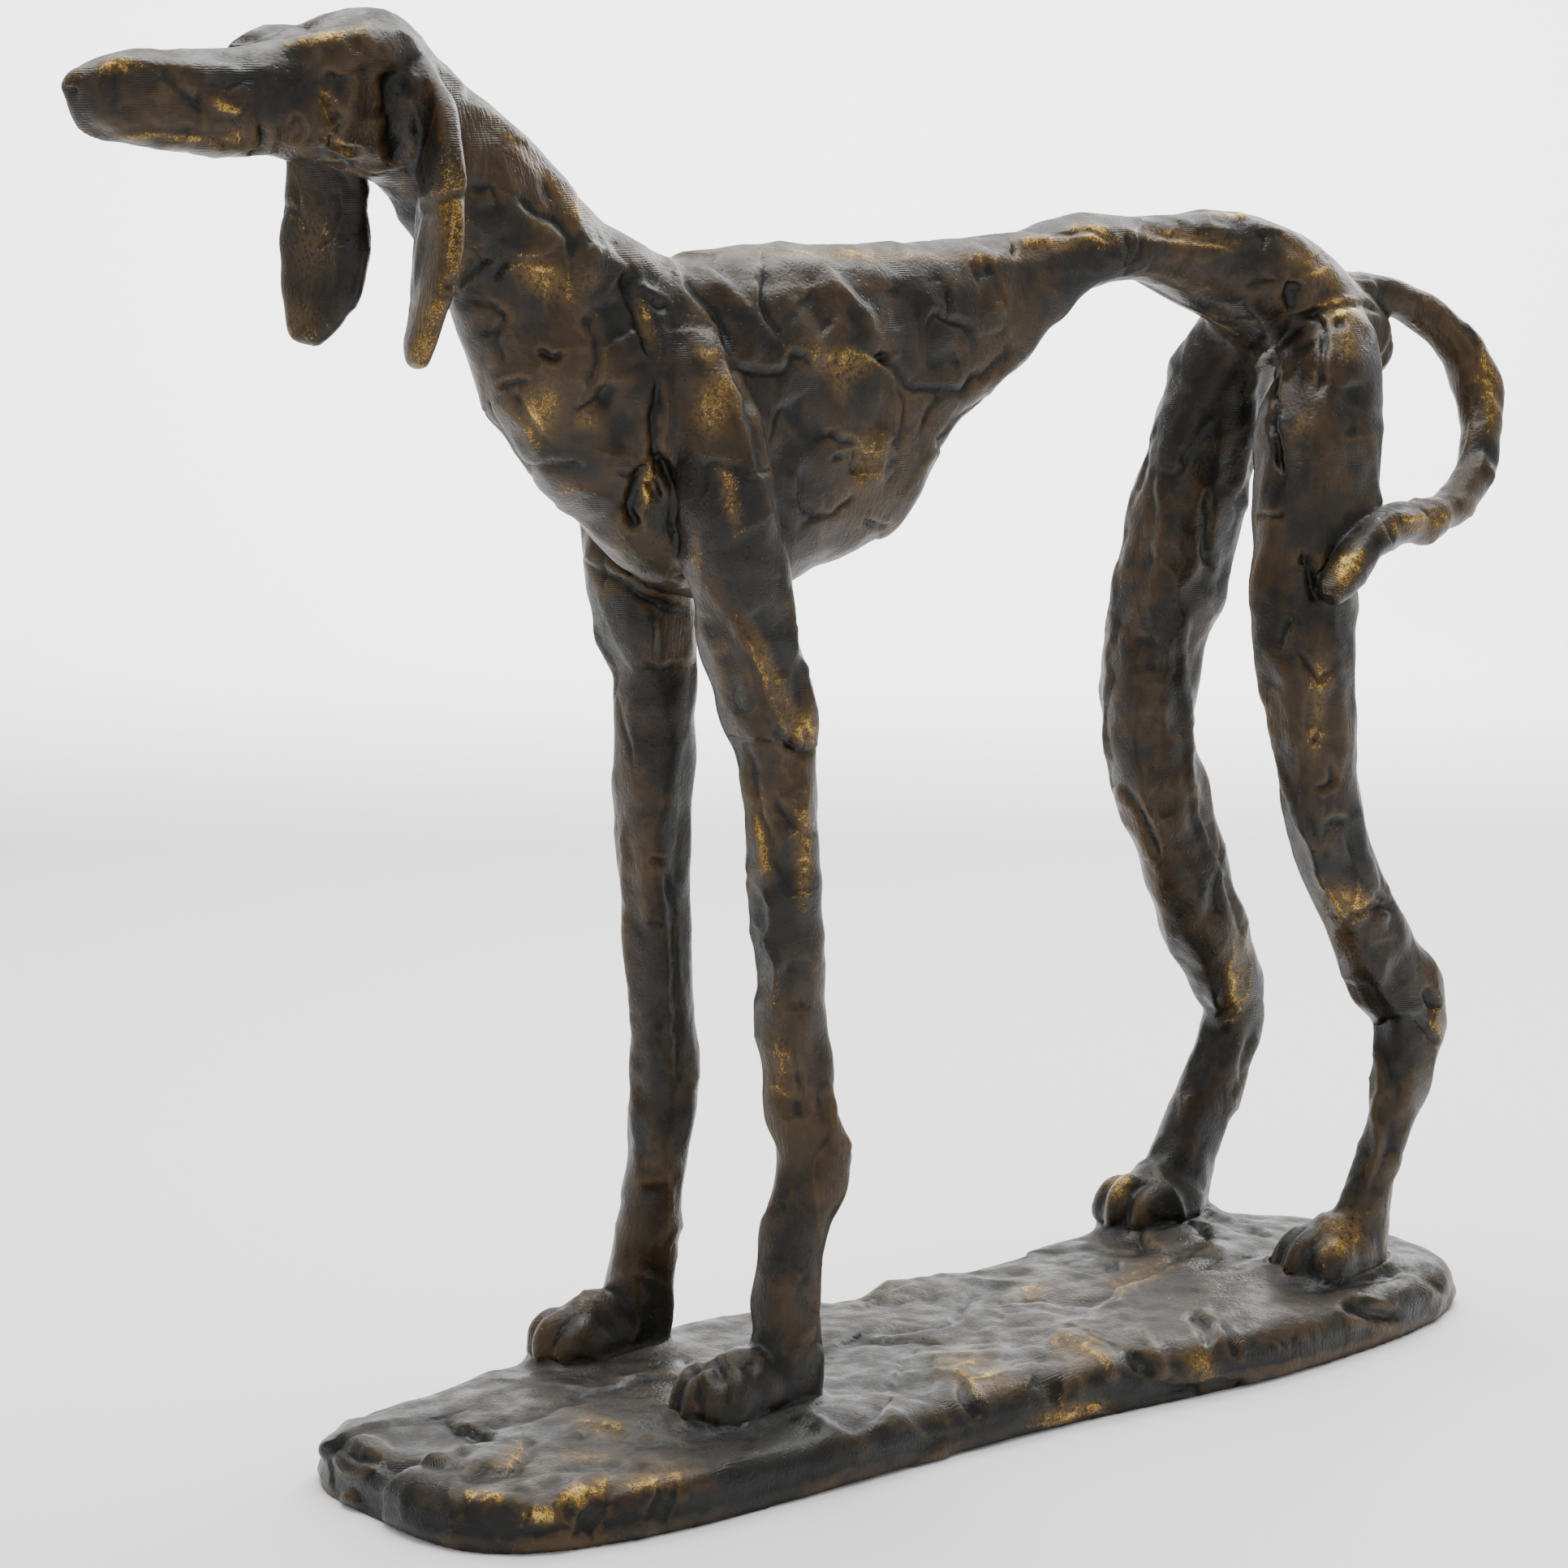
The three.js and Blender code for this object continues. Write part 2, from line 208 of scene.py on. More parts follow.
def cracks(points: np.ndarray, size: float, seed: int) -> np.ndarray:
    """Distance from the borders between scattered cells, where the clay splits.

    Args:
        points: Places in millimetres, shape (n, 3).
        size: Mean distance between cracks.
        seed: Picks the pattern.

    Returns:
        About the distance to the nearest border, in millimetres.
    """
    first = np.full(len(points), 9.0)
    second = np.full(len(points), 9.0)
    for _, away in scattered(points, size, seed):
        d = np.sqrt((away**2).sum(1))
        second = np.minimum(second, np.maximum(first, d))
        first = np.minimum(first, d)
    return (second - first) * size / 2


class Mark(Enum):
    """How a modelling stroke shapes the clay."""

    CREASE = "narrow groove"
    LEDGE = "edge of an overlapping slab, raised on the left of its path"
    RIDGE = "raised rope or squeezed-up edge"
    PIT = "deep gouge"
    DISH = "wide shallow press"


CREASE, LEDGE, RIDGE, PIT, DISH = Mark


@dataclass(frozen=True)
class Stroke:
    """One stroke of the modeller's thumb or tool, drawn as the photograph shows it.

    The path is x and y by turns, in pixels of the 1932 by 1932 frame, and the width and
    depth are in millimetres on the figure.
    """

    name: str
    mark: Mark
    path: tuple
    width: float
    depth: float


@dataclass(frozen=True)
class Gilding:
    """Patch where gold was rubbed on: its middle and half sizes in frame pixels, its slant
    in degrees and how strong the gold is."""

    name: str
    middle: tuple
    half: tuple
    slant: float
    strength: float


def table(kind: type, *rows: tuple) -> tuple:
    """Makes a table from rows of values.

    Args:
        kind: Stroke or Gilding.
        rows: The values of each entry, in the order of its fields.

    Returns:
        One entry for each row.
    """
    return tuple(kind(*row) for row in rows)


@dataclass(frozen=True)
class Viewpoint:
    """Where the photograph was taken from, fitted to its perspective."""

    azimuth: float = -39.0
    tilt: float = 9.0
    focal_px: float = 5200.0
    frame_px: float = 1932.0
    sensor_mm: float = 36.0
    distance_mm: float = 1068.1
    aim_mm: tuple = (-42.9, 7.1, 164.3)

    def axes(self) -> tuple:
        """Unit vectors to the camera's back, right and up."""
        a, e = math.radians(self.azimuth), math.radians(self.tilt)
        back = np.array([math.sin(a) * math.cos(e), -math.cos(a) * math.cos(e), math.sin(e)])
        right = np.array([math.cos(a), math.sin(a), 0.0])
        return back, right, np.cross(back, right)

    def eye(self) -> np.ndarray:
        """Camera's place in millimetres."""
        return np.array(self.aim_mm) + self.axes()[0] * self.distance_mm

    def project(self, points: np.ndarray) -> tuple:
        """Pixel places of points and their depths.

        Args:
            points: Places in millimetres, shape (n, 3).

        Returns:
            Pixel places, shape (n, 2), and depths in millimetres, shape (n,).
        """
        back, right, up = self.axes()
        rel = points - self.eye()
        depth = -(rel @ back)
        middle = self.frame_px / 2
        u = middle + self.focal_px * (rel @ right) / depth
        v = middle - self.focal_px * (rel @ up) / depth
        return np.stack([u, v], 1), depth

    def build(self) -> bpy.types.Object:
        """Makes the camera at this viewpoint and sets it as the scene's."""
        data = bpy.data.cameras.new("photo_camera")
        data.sensor_width = self.sensor_mm
        data.lens = self.sensor_mm * self.focal_px / self.frame_px
        data.clip_start, data.clip_end = 0.05, 20.0
        camera = bpy.data.objects.new("photo_camera", data)
        bpy.context.scene.collection.objects.link(camera)
        camera.location = Vector(self.eye() * MM)
        camera.rotation_mode = "QUATERNION"
        camera.rotation_quaternion = Vector(-self.axes()[0]).to_track_quat("-Z", "Y")
        bpy.context.scene.camera = camera
        return camera


HEAD_STROKES = table(
    Stroke,
    ("nostril", PIT, (83, 111, 90, 121), 1.2, 1.0),
    ("muzzle_edge", RIDGE, (118, 84, 160, 80, 220, 84, 280, 92, 330, 88), 1.6, 0.8),
    ("nose_step", CREASE, (145, 85, 141, 108, 139, 133), 1.4, 0.6),
    ("muzzle_fold", LEDGE, (205, 84, 222, 104, 238, 122), 1.2, 0.7),
    ("muzzle_plane", DISH, (150, 118, 210, 128, 255, 130), 5.0, 0.7),
    ("lip_edge", LEDGE, (300, 180, 254, 169, 182, 166, 151, 170, 120, 158), 1.0, 0.5),
    ("lip_pellet", RIDGE, (291, 168, 295, 168), 1.4, 1.0),
    ("cheek_curl", RIDGE, (264, 122, 270, 132, 285, 136, 300, 138), 1.1, 0.8),
    ("jaw_corner", CREASE, (323, 157, 327, 180, 308, 189), 1.0, 0.9),
    ("under_jaw", CREASE, (400, 168, 420, 182, 442, 191), 1.0, 0.9),
    ("cheek_patch", CREASE, (354, 161, 363, 142, 377, 165, 365, 176), 0.7, 0.6),
    ("eye_gouge", DISH, (421, 88, 410, 112, 406, 134, 414, 150), 2.4, 1.7),
    ("eye_core", PIT, (404, 118, 409, 130, 413, 146), 1.0, 1.0),
    ("brow_roll", RIDGE, (346, 57, 384, 50, 423, 38, 457, 36), 1.8, 0.9),
    ("skull_edge", RIDGE, (457, 36, 499, 42, 515, 69, 541, 115, 549, 214), 1.4, 0.8),
    ("temple", DISH, (450, 75, 462, 110, 466, 150), 3.5, 0.9),
    ("ear_hollow", PIT, (484, 88, 486, 140, 484, 200), 2.2, 1.9),
    ("ear_fold", LEDGE, (522, 262, 537, 243, 556, 232, 575, 240), 1.2, 0.8),
    ("ear_kink", CREASE, (587, 318, 568, 344, 549, 356), 1.1, 0.9),
    ("far_ear_crack", CREASE, (417, 230, 411, 283, 400, 299), 0.9, 0.8),
    ("far_brow_groove", CREASE, (285, 57, 331, 42, 384, 27), 1.5, 1.2),
)

CHEST_STROKES = table(
    Stroke,
    ("neck_flap", LEDGE, (698, 320, 693, 288, 673, 273, 653, 267, 628, 240), 1.5, 1.1),
    ("nape_flap", LEDGE, (774, 333, 757, 318, 749, 296), 1.4, 1.1),
    ("shoulder_gouge", PIT, (776, 336, 771, 359, 784, 383, 799, 406, 805, 439), 1.9, 1.9),
    ("shoulder_crease", CREASE, (784, 359, 802, 373, 822, 381), 1.0, 1.0),
    ("foreleg_strip", LEDGE, (960, 658, 951, 632, 941, 592, 927, 559, 912, 502, 892, 446, 882, 416, 872,
     386, 847, 366, 835, 330), 1.8, 1.5),
    ("armpit_crease", CREASE, (809, 469, 805, 505, 802, 559, 822, 582, 829, 612, 835, 681), 1.3, 1.4),
    ("deep_hole", PIT, (797, 572, 785, 588, 779, 612, 774, 636, 786, 646), 1.6, 2.2),
    ("hole_arm", PIT, (800, 590, 806, 612), 1.5, 1.6),
    ("throat_pit", PIT, (666, 431, 681, 441, 697, 436), 1.0, 1.1),
    ("breast_press", DISH, (606, 382, 607, 415), 2.8, 1.0),
    ("breast_crease", CREASE, (721, 388, 732, 414, 727, 479), 1.2, 0.9),
    ("throat_slit", CREASE, (611, 340, 620, 320), 0.9, 0.9),
    ("breast_slab", LEDGE, (616, 446, 603, 422, 620, 386, 576, 376), 1.2, 0.9),
    ("keel_slab", LEDGE, (673, 545, 656, 532, 643, 505, 630, 482), 1.3, 1.0),
    ("keel_crease", CREASE, (620, 472, 649, 469), 0.9, 0.8),
    ("keel_fold", CREASE, (673, 572, 699, 575, 719, 575), 1.0, 0.9),
    ("skirt", LEDGE, (714, 688, 739, 698, 772, 714, 805, 731, 849, 751), 1.6, 1.4),
    ("neck_press", DISH, (600, 150, 640, 205, 680, 250), 3.5, 0.9),
    ("throat_press", DISH, (600, 250, 612, 300), 3.0, 0.8),
    ("breast_hollow", DISH, (745, 470, 760, 520, 755, 560), 4.5, 1.2),
    ("shoulder_plane", DISH, (745, 370, 765, 420), 3.5, 0.9),
)

FLANK_STROKES = table(
    Stroke,
    ("rib_ledge", LEDGE, (901, 445, 924, 450, 946, 453, 962, 451, 972, 432, 991, 434, 1000, 448), 1.4, 1.3),
    ("rib_crest", RIDGE, (1013, 327, 1032, 356, 1051, 375, 1064, 388, 1070, 410, 1080, 429), 1.7, 1.3),
    ("rib_hole", PIT, (1086, 436, 1090, 448), 1.7, 1.8),
    ("belly_ledge", LEDGE, (1252, 426, 1239, 451, 1211, 470, 1188, 488, 1163, 486, 1131, 490, 1115, 480,
     1096, 458, 1080, 448, 1058, 435), 1.5, 1.2),
    ("rib_fold", LEDGE, (959, 416, 933, 388, 937, 324), 1.5, 1.1),
    ("withers_crest", RIDGE, (860, 327, 892, 356, 924, 388), 1.7, 1.1),
    ("flank_crack", CREASE, (1141, 407, 1150, 388, 1166, 392, 1192, 397, 1200, 413), 1.0, 1.1),
    ("flank_split", CREASE, (1166, 356, 1168, 388), 0.9, 0.8),
    ("flank_lobe", RIDGE, (1222, 374, 1236, 388), 2.2, 1.0),
    ("loin_hole", PIT, (1244, 311, 1249, 311), 1.2, 1.0),
    ("loin_ridge", RIDGE, (1255, 300, 1276, 297, 1297, 298), 1.2, 0.8),
    ("knob_creases", CREASE, (1019, 531, 1035, 541, 1056, 549), 0.9, 0.8),
    ("knob_crease_low", CREASE, (1029, 566, 1040, 557), 0.9, 0.7),
    ("knob_ridge", RIDGE, (1080, 598, 1083, 547, 1088, 531), 1.8, 1.2),
    ("knob_press", DISH, (1060, 555, 1062, 585), 2.6, 1.0),
    ("belly_tongue", LEDGE, (1010, 633, 997, 636, 984, 630, 984, 579), 1.3, 1.1),
    ("belly_crack", CREASE, (1067, 639, 1091, 651), 0.9, 0.8),
    ("rib_press", DISH, (985, 370, 1020, 405), 4.0, 1.2),
    ("flank_press", DISH, (1095, 350, 1120, 400), 4.5, 1.1),
    ("flank_press_rear", DISH, (1200, 345, 1225, 335), 3.5, 0.9),
    ("belly_press", DISH, (1140, 450, 1185, 445), 3.5, 0.9),
    ("rib_plane", DISH, (975, 490, 1005, 550), 5.0, 1.2),
)

HIND_STROKES = table(
    Stroke,
    ("loin_arc", LEDGE, (1378, 336, 1402, 305, 1405, 278), 1.5, 1.2),
    ("loin_arc_front", CREASE, (1381, 326, 1390, 309, 1385, 288), 1.1, 1.0),
    ("croup_flow", LEDGE, (1523, 311, 1502, 300, 1478, 302, 1454, 297, 1423, 293, 1409, 278), 1.3, 0.8),
    ("croup_flap", RIDGE, (1480, 268, 1505, 262, 1536, 266), 1.5, 1.2),
    ("croup_flap_low", RIDGE, (1478, 272, 1500, 284, 1512, 286), 1.4, 1.0),
    ("rump_hollow", PIT, (1597, 345, 1591, 364, 1593, 384), 2.3, 2.2),
    ("rump_crack", CREASE, (1595, 389, 1636, 386, 1671, 376, 1681, 378, 1698, 388), 0.9, 1.0),
    ("rump_pellets", PIT, (1645, 398, 1660, 397), 1.2, 1.2),
    ("thigh_edge", RIDGE, (1581, 392, 1564, 419, 1547, 447, 1541, 474, 1540, 516, 1536, 550, 1528, 584,
     1529, 619, 1536, 636), 1.5, 1.2),
    ("thigh_slit", PIT, (1574, 462, 1569, 480, 1569, 502, 1571, 536, 1578, 564, 1581, 582), 1.0, 1.6),
    ("thigh_crease", CREASE, (1615, 388, 1633, 409, 1634, 447, 1622, 481), 0.9, 0.8),
    ("thigh_split", CREASE, (1547, 636, 1574, 638, 1578, 629), 0.9, 0.9),
    ("thigh_press", DISH, (1605, 430, 1600, 500, 1610, 570), 4.0, 1.0),
    ("thigh_press_rear", DISH, (1665, 470, 1670, 540), 3.5, 0.9),
    ("tail_rest", CREASE, (1610, 684, 1615, 716, 1624, 741), 1.3, 1.6),
    ("far_thigh_seam", LEDGE, (1373, 739, 1381, 670, 1395, 619, 1409, 567, 1423, 533), 0.9, 0.7),
    ("far_crest", RIDGE, (1431, 584, 1435, 619, 1433, 653, 1423, 681), 1.3, 1.0),
    ("far_groove", CREASE, (1488, 600, 1484, 636, 1481, 670, 1491, 698), 1.3, 1.2),
    ("far_slab", LEDGE, (1443, 584, 1457, 567, 1471, 533, 1492, 512), 1.2, 1.0),
)

LEG_STROKES = table(
    Stroke,
    ("far_fore_plane", RIDGE, (767, 1020, 772, 1097, 777, 1169, 781, 1300, 790, 1450), 1.3, 0.9),
    ("far_fore_seam", CREASE, (825, 1072, 828, 1133, 829, 1186, 834, 1240, 834, 1330), 0.8, 0.8),
    ("far_elbow", CREASE, (779, 822, 811, 826, 826, 824, 858, 820), 0.9, 0.5),
    ("far_knots", PIT, (804, 1063, 819, 1065), 1.0, 0.8),
    ("far_upper_plane", RIDGE, (800, 760, 806, 790, 802, 815), 1.3, 0.8),
    ("far_fore_press", DISH, (803, 880, 806, 940, 803, 1010), 3.2, 0.9),
    ("far_fore_press_low", DISH, (806, 1130, 808, 1200, 812, 1290), 3.0, 0.8),
    ("arm_rope", RIDGE, (902, 747, 911, 776, 926, 802, 940, 833, 951, 861, 958, 879, 965, 894), 1.2, 1.1),
    ("arm_rear_fold", RIDGE, (966, 700, 974, 761, 979, 786, 983, 819, 990, 840, 1001, 865, 1008, 890, 1006,
     911), 1.5, 1.1),
    ("arm_plane", DISH, (930, 750, 950, 790, 968, 835), 2.8, 1.0),
    ("arm_front_plane", DISH, (893, 800, 905, 850, 915, 880), 2.6, 0.8),
    ("elbow_fold", CREASE, (950, 896, 969, 906, 976, 919, 998, 928), 1.1, 1.3),
    ("elbow_drip_one", CREASE, (974, 892, 977, 922), 0.8, 0.8),
    ("elbow_drip_two", CREASE, (988, 895, 990, 920), 0.8, 0.8),
    ("wrist_fold", LEDGE, (895, 906, 915, 908, 940, 914, 954, 908), 1.0, 0.8),
    ("shin_front", LEDGE, (963, 1074, 954, 1061, 945, 1029, 935, 1019, 926, 969, 915, 908), 1.2, 1.0),
    ("shin_fold", LEDGE, (958, 979, 972, 1001, 986, 1015, 1002, 1026), 1.2, 1.1),
    ("shin_rope", RIDGE, (944, 1094, 951, 1119, 949, 1154, 954, 1172, 961, 1190, 958, 1240), 1.0, 0.9),
    ("shin_press", DISH, (980, 1060, 984, 1100), 2.4, 0.8),
    ("shin_press_low", DISH, (978, 1180, 984, 1250), 2.6, 0.8),
    ("shin_plane", DISH, (975, 1320, 985, 1380), 2.6, 0.8),
    ("pastern_plane", DISH, (965, 1480, 962, 1560), 2.8, 0.8),
    ("knee_edge", RIDGE, (1016, 1335, 1030, 1385, 1044, 1418), 1.6, 1.0),
    ("far_hind_seam", LEDGE, (1368, 964, 1363, 928, 1360, 872, 1371, 821, 1376, 760), 0.9, 0.7),
    ("far_hind_fold", LEDGE, (1422, 1056, 1411, 1025, 1396, 990, 1376, 969), 1.2, 1.0),
    ("far_hind_plane", RIDGE, (1457, 760, 1455, 837, 1462, 888, 1470, 964, 1488, 1035, 1503, 1086, 1519,
     1132), 1.4, 1.1),
    ("far_hind_strand", CREASE, (1475, 975, 1493, 1046, 1514, 1107, 1530, 1150), 0.9, 0.9),
    ("far_hind_press", DISH, (1420, 880, 1428, 950, 1440, 1010), 3.6, 1.0),
    ("far_thigh_press", DISH, (1415, 780, 1418, 830), 3.4, 0.9),
    ("far_hock_lump", RIDGE, (1493, 1209, 1503, 1265, 1516, 1250), 1.6, 1.1),
    ("far_hock_fold", CREASE, (1541, 1275, 1528, 1310, 1518, 1350), 1.1, 1.0),
    ("far_shank_line", RIDGE, (1490, 1290, 1470, 1340, 1450, 1390), 1.1, 0.8),
    ("hind_front", RIDGE, (1542, 760, 1554, 821, 1570, 893, 1580, 964, 1595, 1005, 1618, 1046, 1626, 1087,
     1646, 1112), 1.4, 1.1),
    ("hind_split", CREASE, (1590, 760, 1580, 796), 0.9, 0.9),
    ("hind_vee", LEDGE, (1640, 830, 1626, 847, 1616, 837, 1600, 806), 1.1, 1.0),
    ("hind_chip", PIT, (1617, 908, 1622, 914), 1.2, 1.0),
    ("hind_squiggle", CREASE, (1641, 939, 1646, 964, 1621, 969), 0.9, 0.8),
    ("strap", LEDGE, (1628, 1030, 1628, 1010, 1664, 1005, 1667, 1046, 1674, 1071, 1692, 1092, 1712, 1113),
     1.1, 1.1),
    ("hock_fold", LEDGE, (1712, 1125, 1692, 1122, 1659, 1140, 1636, 1138), 1.2, 1.2),
    ("hock_pellets", RIDGE, (1646, 1112, 1657, 1138), 1.3, 1.0),
    ("hock_cleft", CREASE, (1692, 1265, 1738, 1250, 1763, 1275, 1769, 1291), 1.1, 1.2),
    ("heel_hole", PIT, (1758, 1218, 1768, 1242), 1.3, 1.2),
    ("hock_press", DISH, (1700, 1160, 1725, 1215), 3.4, 1.0),
    ("shank_rope", RIDGE, (1692, 1270, 1705, 1321, 1694, 1362, 1697, 1413, 1687, 1464), 1.2, 1.0),
    ("shank_plane", DISH, (1725, 1310, 1720, 1380, 1710, 1430), 2.6, 0.9),
    ("tail_joint", CREASE, (1700, 640, 1712, 650, 1716, 668), 1.0, 0.9),
    ("tail_fold", RIDGE, (1712, 632, 1730, 640, 1770, 632), 1.3, 0.8),
    ("tail_plane", DISH, (1740, 385, 1775, 400), 2.6, 0.8),
    ("tail_plane_mid", DISH, (1815, 470, 1828, 520), 2.4, 0.8),
    ("tail_edge", RIDGE, (1822, 560, 1840, 585, 1845, 610), 1.3, 0.9),
    ("paw_cleft_near", CREASE, (845, 1678, 858, 1700, 862, 1728), 1.1, 1.0),
    ("paw_cleft_near_two", CREASE, (880, 1672, 893, 1700, 898, 1732), 1.1, 0.9),
    ("paw_press_near", DISH, (918, 1680, 930, 1690), 2.0, 0.9),
)

BASE_STROKES = table(
    Stroke,
    ("front_slab", LEDGE, (408, 1769, 453, 1792, 520, 1800, 554, 1806, 579, 1786), 1.7, 1.3),
    ("front_flap", LEDGE, (554, 1809, 610, 1814, 649, 1792, 647, 1783), 1.6, 1.2),
    ("front_gash", CREASE, (579, 1769, 666, 1747, 731, 1722), 1.2, 1.1),
    ("flow_one", LEDGE, (700, 1775, 745, 1760, 790, 1776, 850, 1782), 1.4, 0.9),
    ("flow_two", LEDGE, (690, 1808, 742, 1796, 800, 1808, 862, 1800), 1.4, 0.9),
    ("flow_three", LEDGE, (640, 1832, 700, 1822, 745, 1826), 1.4, 0.8),
    ("mid_slab", LEDGE, (1260, 1590, 1204, 1600, 1189, 1609, 1180, 1639, 1130, 1646, 1008, 1660), 1.8, 1.7),
    ("rear_slab", LEDGE, (1458, 1510, 1488, 1524, 1493, 1542, 1448, 1559, 1388, 1584, 1359, 1611, 1264,
     1606, 1194, 1624), 1.9, 1.8),
    ("mid_crease", CREASE, (1065, 1609, 1110, 1607, 1157, 1601), 1.1, 0.8),
    ("far_crease", CREASE, (1172, 1564, 1244, 1568, 1279, 1564), 1.1, 0.9),
    ("rear_crease", CREASE, (1478, 1504, 1518, 1519, 1563, 1529), 1.2, 1.0),
    ("near_flap", LEDGE, (1093, 1736, 1084, 1752, 1048, 1772, 1008, 1747), 1.6, 1.5),
    ("near_notch", PIT, (1184, 1706, 1192, 1730, 1206, 1748), 1.5, 1.6),
    ("rim_notch", PIT, (1469, 1626, 1489, 1639, 1486, 1660), 1.6, 2.0),
    ("rim_crack", CREASE, (1498, 1634, 1516, 1652, 1522, 1674), 0.9, 0.9),
    ("rim_pits", PIT, (1652, 1612, 1680, 1620, 1722, 1622), 1.8, 1.6),
    ("rear_rim", LEDGE, (1777, 1604, 1742, 1569, 1712, 1579, 1627, 1594), 1.7, 1.3),
    ("rear_lobe", CREASE, (1792, 1578, 1790, 1600, 1772, 1622), 1.2, 1.1),
    ("pellet", RIDGE, (1650, 1574, 1652, 1574), 1.3, 1.4),
    ("pellet_far", RIDGE, (1450, 1564, 1452, 1564), 1.0, 1.0),
    ("scuffs", PIT, (1360, 1558, 1372, 1562, 1382, 1556), 1.2, 0.9),
    ("rim_roll_one", RIDGE, (1290, 1655, 1330, 1652, 1356, 1672, 1372, 1700), 2.4, 1.5),
    ("rim_roll_two", RIDGE, (1150, 1690, 1185, 1672, 1240, 1668), 2.4, 1.1),
    ("rim_roll_three", RIDGE, (1400, 1650, 1424, 1676, 1432, 1700), 2.2, 1.1),
    ("rim_fold", RIDGE, (572, 1846, 596, 1836, 622, 1848), 1.8, 1.0),
    ("rim_lump", RIDGE, (690, 1846, 716, 1830, 750, 1824), 2.2, 1.4),
    ("rim_lump_low", RIDGE, (652, 1866, 684, 1864), 2.2, 1.2),
    ("rim_press", DISH, (712, 1868, 740, 1880), 4.0, 1.2),
    ("rim_press_two", DISH, (800, 1850, 830, 1858), 4.5, 1.0),
    ("near_press", DISH, (1100, 1700, 1150, 1715), 4.5, 1.1),
    ("near_press_two", DISH, (1270, 1700, 1310, 1712), 4.5, 1.2),
    ("near_press_three", DISH, (1400, 1690, 1408, 1672), 3.5, 1.1),
)

GILDINGS = table(
    Gilding,
    ("muzzle_top", (142, 80), (26, 9), 5, 0.8),
    ("nose", (90, 85), (14, 16), 0, 0.5),
    ("brow", (400, 44), (58, 6), -12, 0.85),
    ("lip", (220, 170), (75, 4), 2, 0.75),
    ("lip_pellet", (293, 168), (9, 8), 0, 1.0),
    ("cheek_curl", (278, 132), (22, 6), 25, 0.9),
    ("under_jaw", (421, 180), (24, 5), 28, 0.9),
    ("eye", (404, 128), (8, 22), 0, 0.8),
    ("near_ear", (552, 275), (24, 66), 0, 0.62),
    ("near_ear_tip", (525, 400), (18, 56), 10, 0.65),
    ("far_ear", (385, 300), (28, 55), 0, 0.5),
    ("far_ear_tip", (372, 390), (26, 26), 0, 0.5),
    ("throat", (673, 346), (38, 18), 30, 1.0),
    ("throat_side", (726, 343), (18, 14), 0, 0.6),
    ("breast", (669, 505), (18, 32), 20, 1.0),
    ("breast_side", (721, 519), (14, 10), 0, 0.9),
    ("keel", (696, 602), (14, 8), 0, 0.7),
    ("shoulder", (872, 436), (14, 10), 30, 1.0),
    ("upper_arm", (878, 499), (20, 36), 15, 1.0),
    ("arm_edge", (900, 615), (9, 38), -12, 0.8),
    ("arm_line", (858, 681), (5, 30), 0, 0.7),
    ("arm_pit", (798, 600), (8, 22), 0, 1.0),
    ("shoulder_line", (795, 400), (7, 30), -20, 0.9),
    ("nape", (716, 255), (28, 14), 40, 0.8),
    ("neck_edge", (655, 198), (75, 6), 45, 0.8),
    ("back_edge", (1060, 314), (160, 7), 1, 1.0),
    ("rib", (1039, 448), (32, 18), 5, 1.0),
    ("rib_tail", (1036, 476), (10, 24), -20, 0.7),
    ("knob", (1067, 570), (16, 40), 10, 0.8),
    ("loin", (1290, 300), (40, 10), 0, 0.9),
    ("loin_ring", (1345, 285), (30, 12), 20, 0.9),
    ("croup_top", (1520, 264), (26, 6), 5, 1.0),
    ("croup_line", (1460, 293), (60, 7), 8, 0.9),
    ("rump", (1655, 380), (24, 14), 10, 1.0),
    ("thigh_top", (1660, 425), (16, 18), 0, 0.8),
    ("thigh_side", (1605, 520), (10, 30), 35, 0.6),
    ("tail_root", (1625, 330), (50, 14), 40, 0.8),
    ("tail_turn", (1835, 480), (12, 50), -10, 0.7),
    ("tail_end", (1750, 645), (36, 12), -8, 0.9),
    ("tail_tip", (1660, 700), (14, 26), 35, 1.0),
    ("elbow", (990, 893), (20, 16), 30, 1.0),
    ("fore_edge", (950, 830), (10, 60), -25, 0.8),
    ("shin_edge", (938, 1030), (8, 50), -5, 0.7),
    ("shin_side", (990, 1060), (10, 60), 0, 0.8),
    ("shin_low", (960, 1300), (12, 70), 0, 0.5),
    ("hind_shin", (1625, 870), (10, 60), 5, 0.7),
    ("hock", (1660, 1110), (24, 18), 30, 0.9),
    ("heel", (1775, 1260), (14, 20), -20, 0.6),
    ("far_hock", (1525, 1210), (16, 50), 0, 0.8),
    ("paw_hind", (1655, 1520), (24, 26), 30, 1.0),
    ("paw_hind_far", (1380, 1455), (14, 24), 10, 0.7),
    ("front_rim_lump", (720, 1838), (36, 12), -20, 1.0),
    ("front_rim_low", (668, 1868), (20, 10), 0, 1.0),
    ("front_fold", (596, 1842), (26, 7), 5, 1.0),
    ("flow_one", (740, 1758), (34, 12), 20, 0.8),
    ("flow_two", (726, 1794), (30, 8), 0, 0.8),
    ("flow_three", (805, 1822), (46, 12), -10, 0.9),
    ("front_flap", (630, 1795), (24, 16), -40, 0.7),
    ("near_roll", (1205, 1690), (46, 22), 25, 0.9),
    ("near_roll_two", (1330, 1662), (36, 18), 15, 0.9),
    ("near_edge", (1320, 1740), (44, 10), -12, 0.9),
    ("rim_notch", (1478, 1680), (20, 14), 40, 0.9),
    ("slab_edge", (1272, 1590), (22, 12), -10, 0.9),
    ("slab_edge_rear", (1400, 1575), (40, 12), -25, 0.7),
)


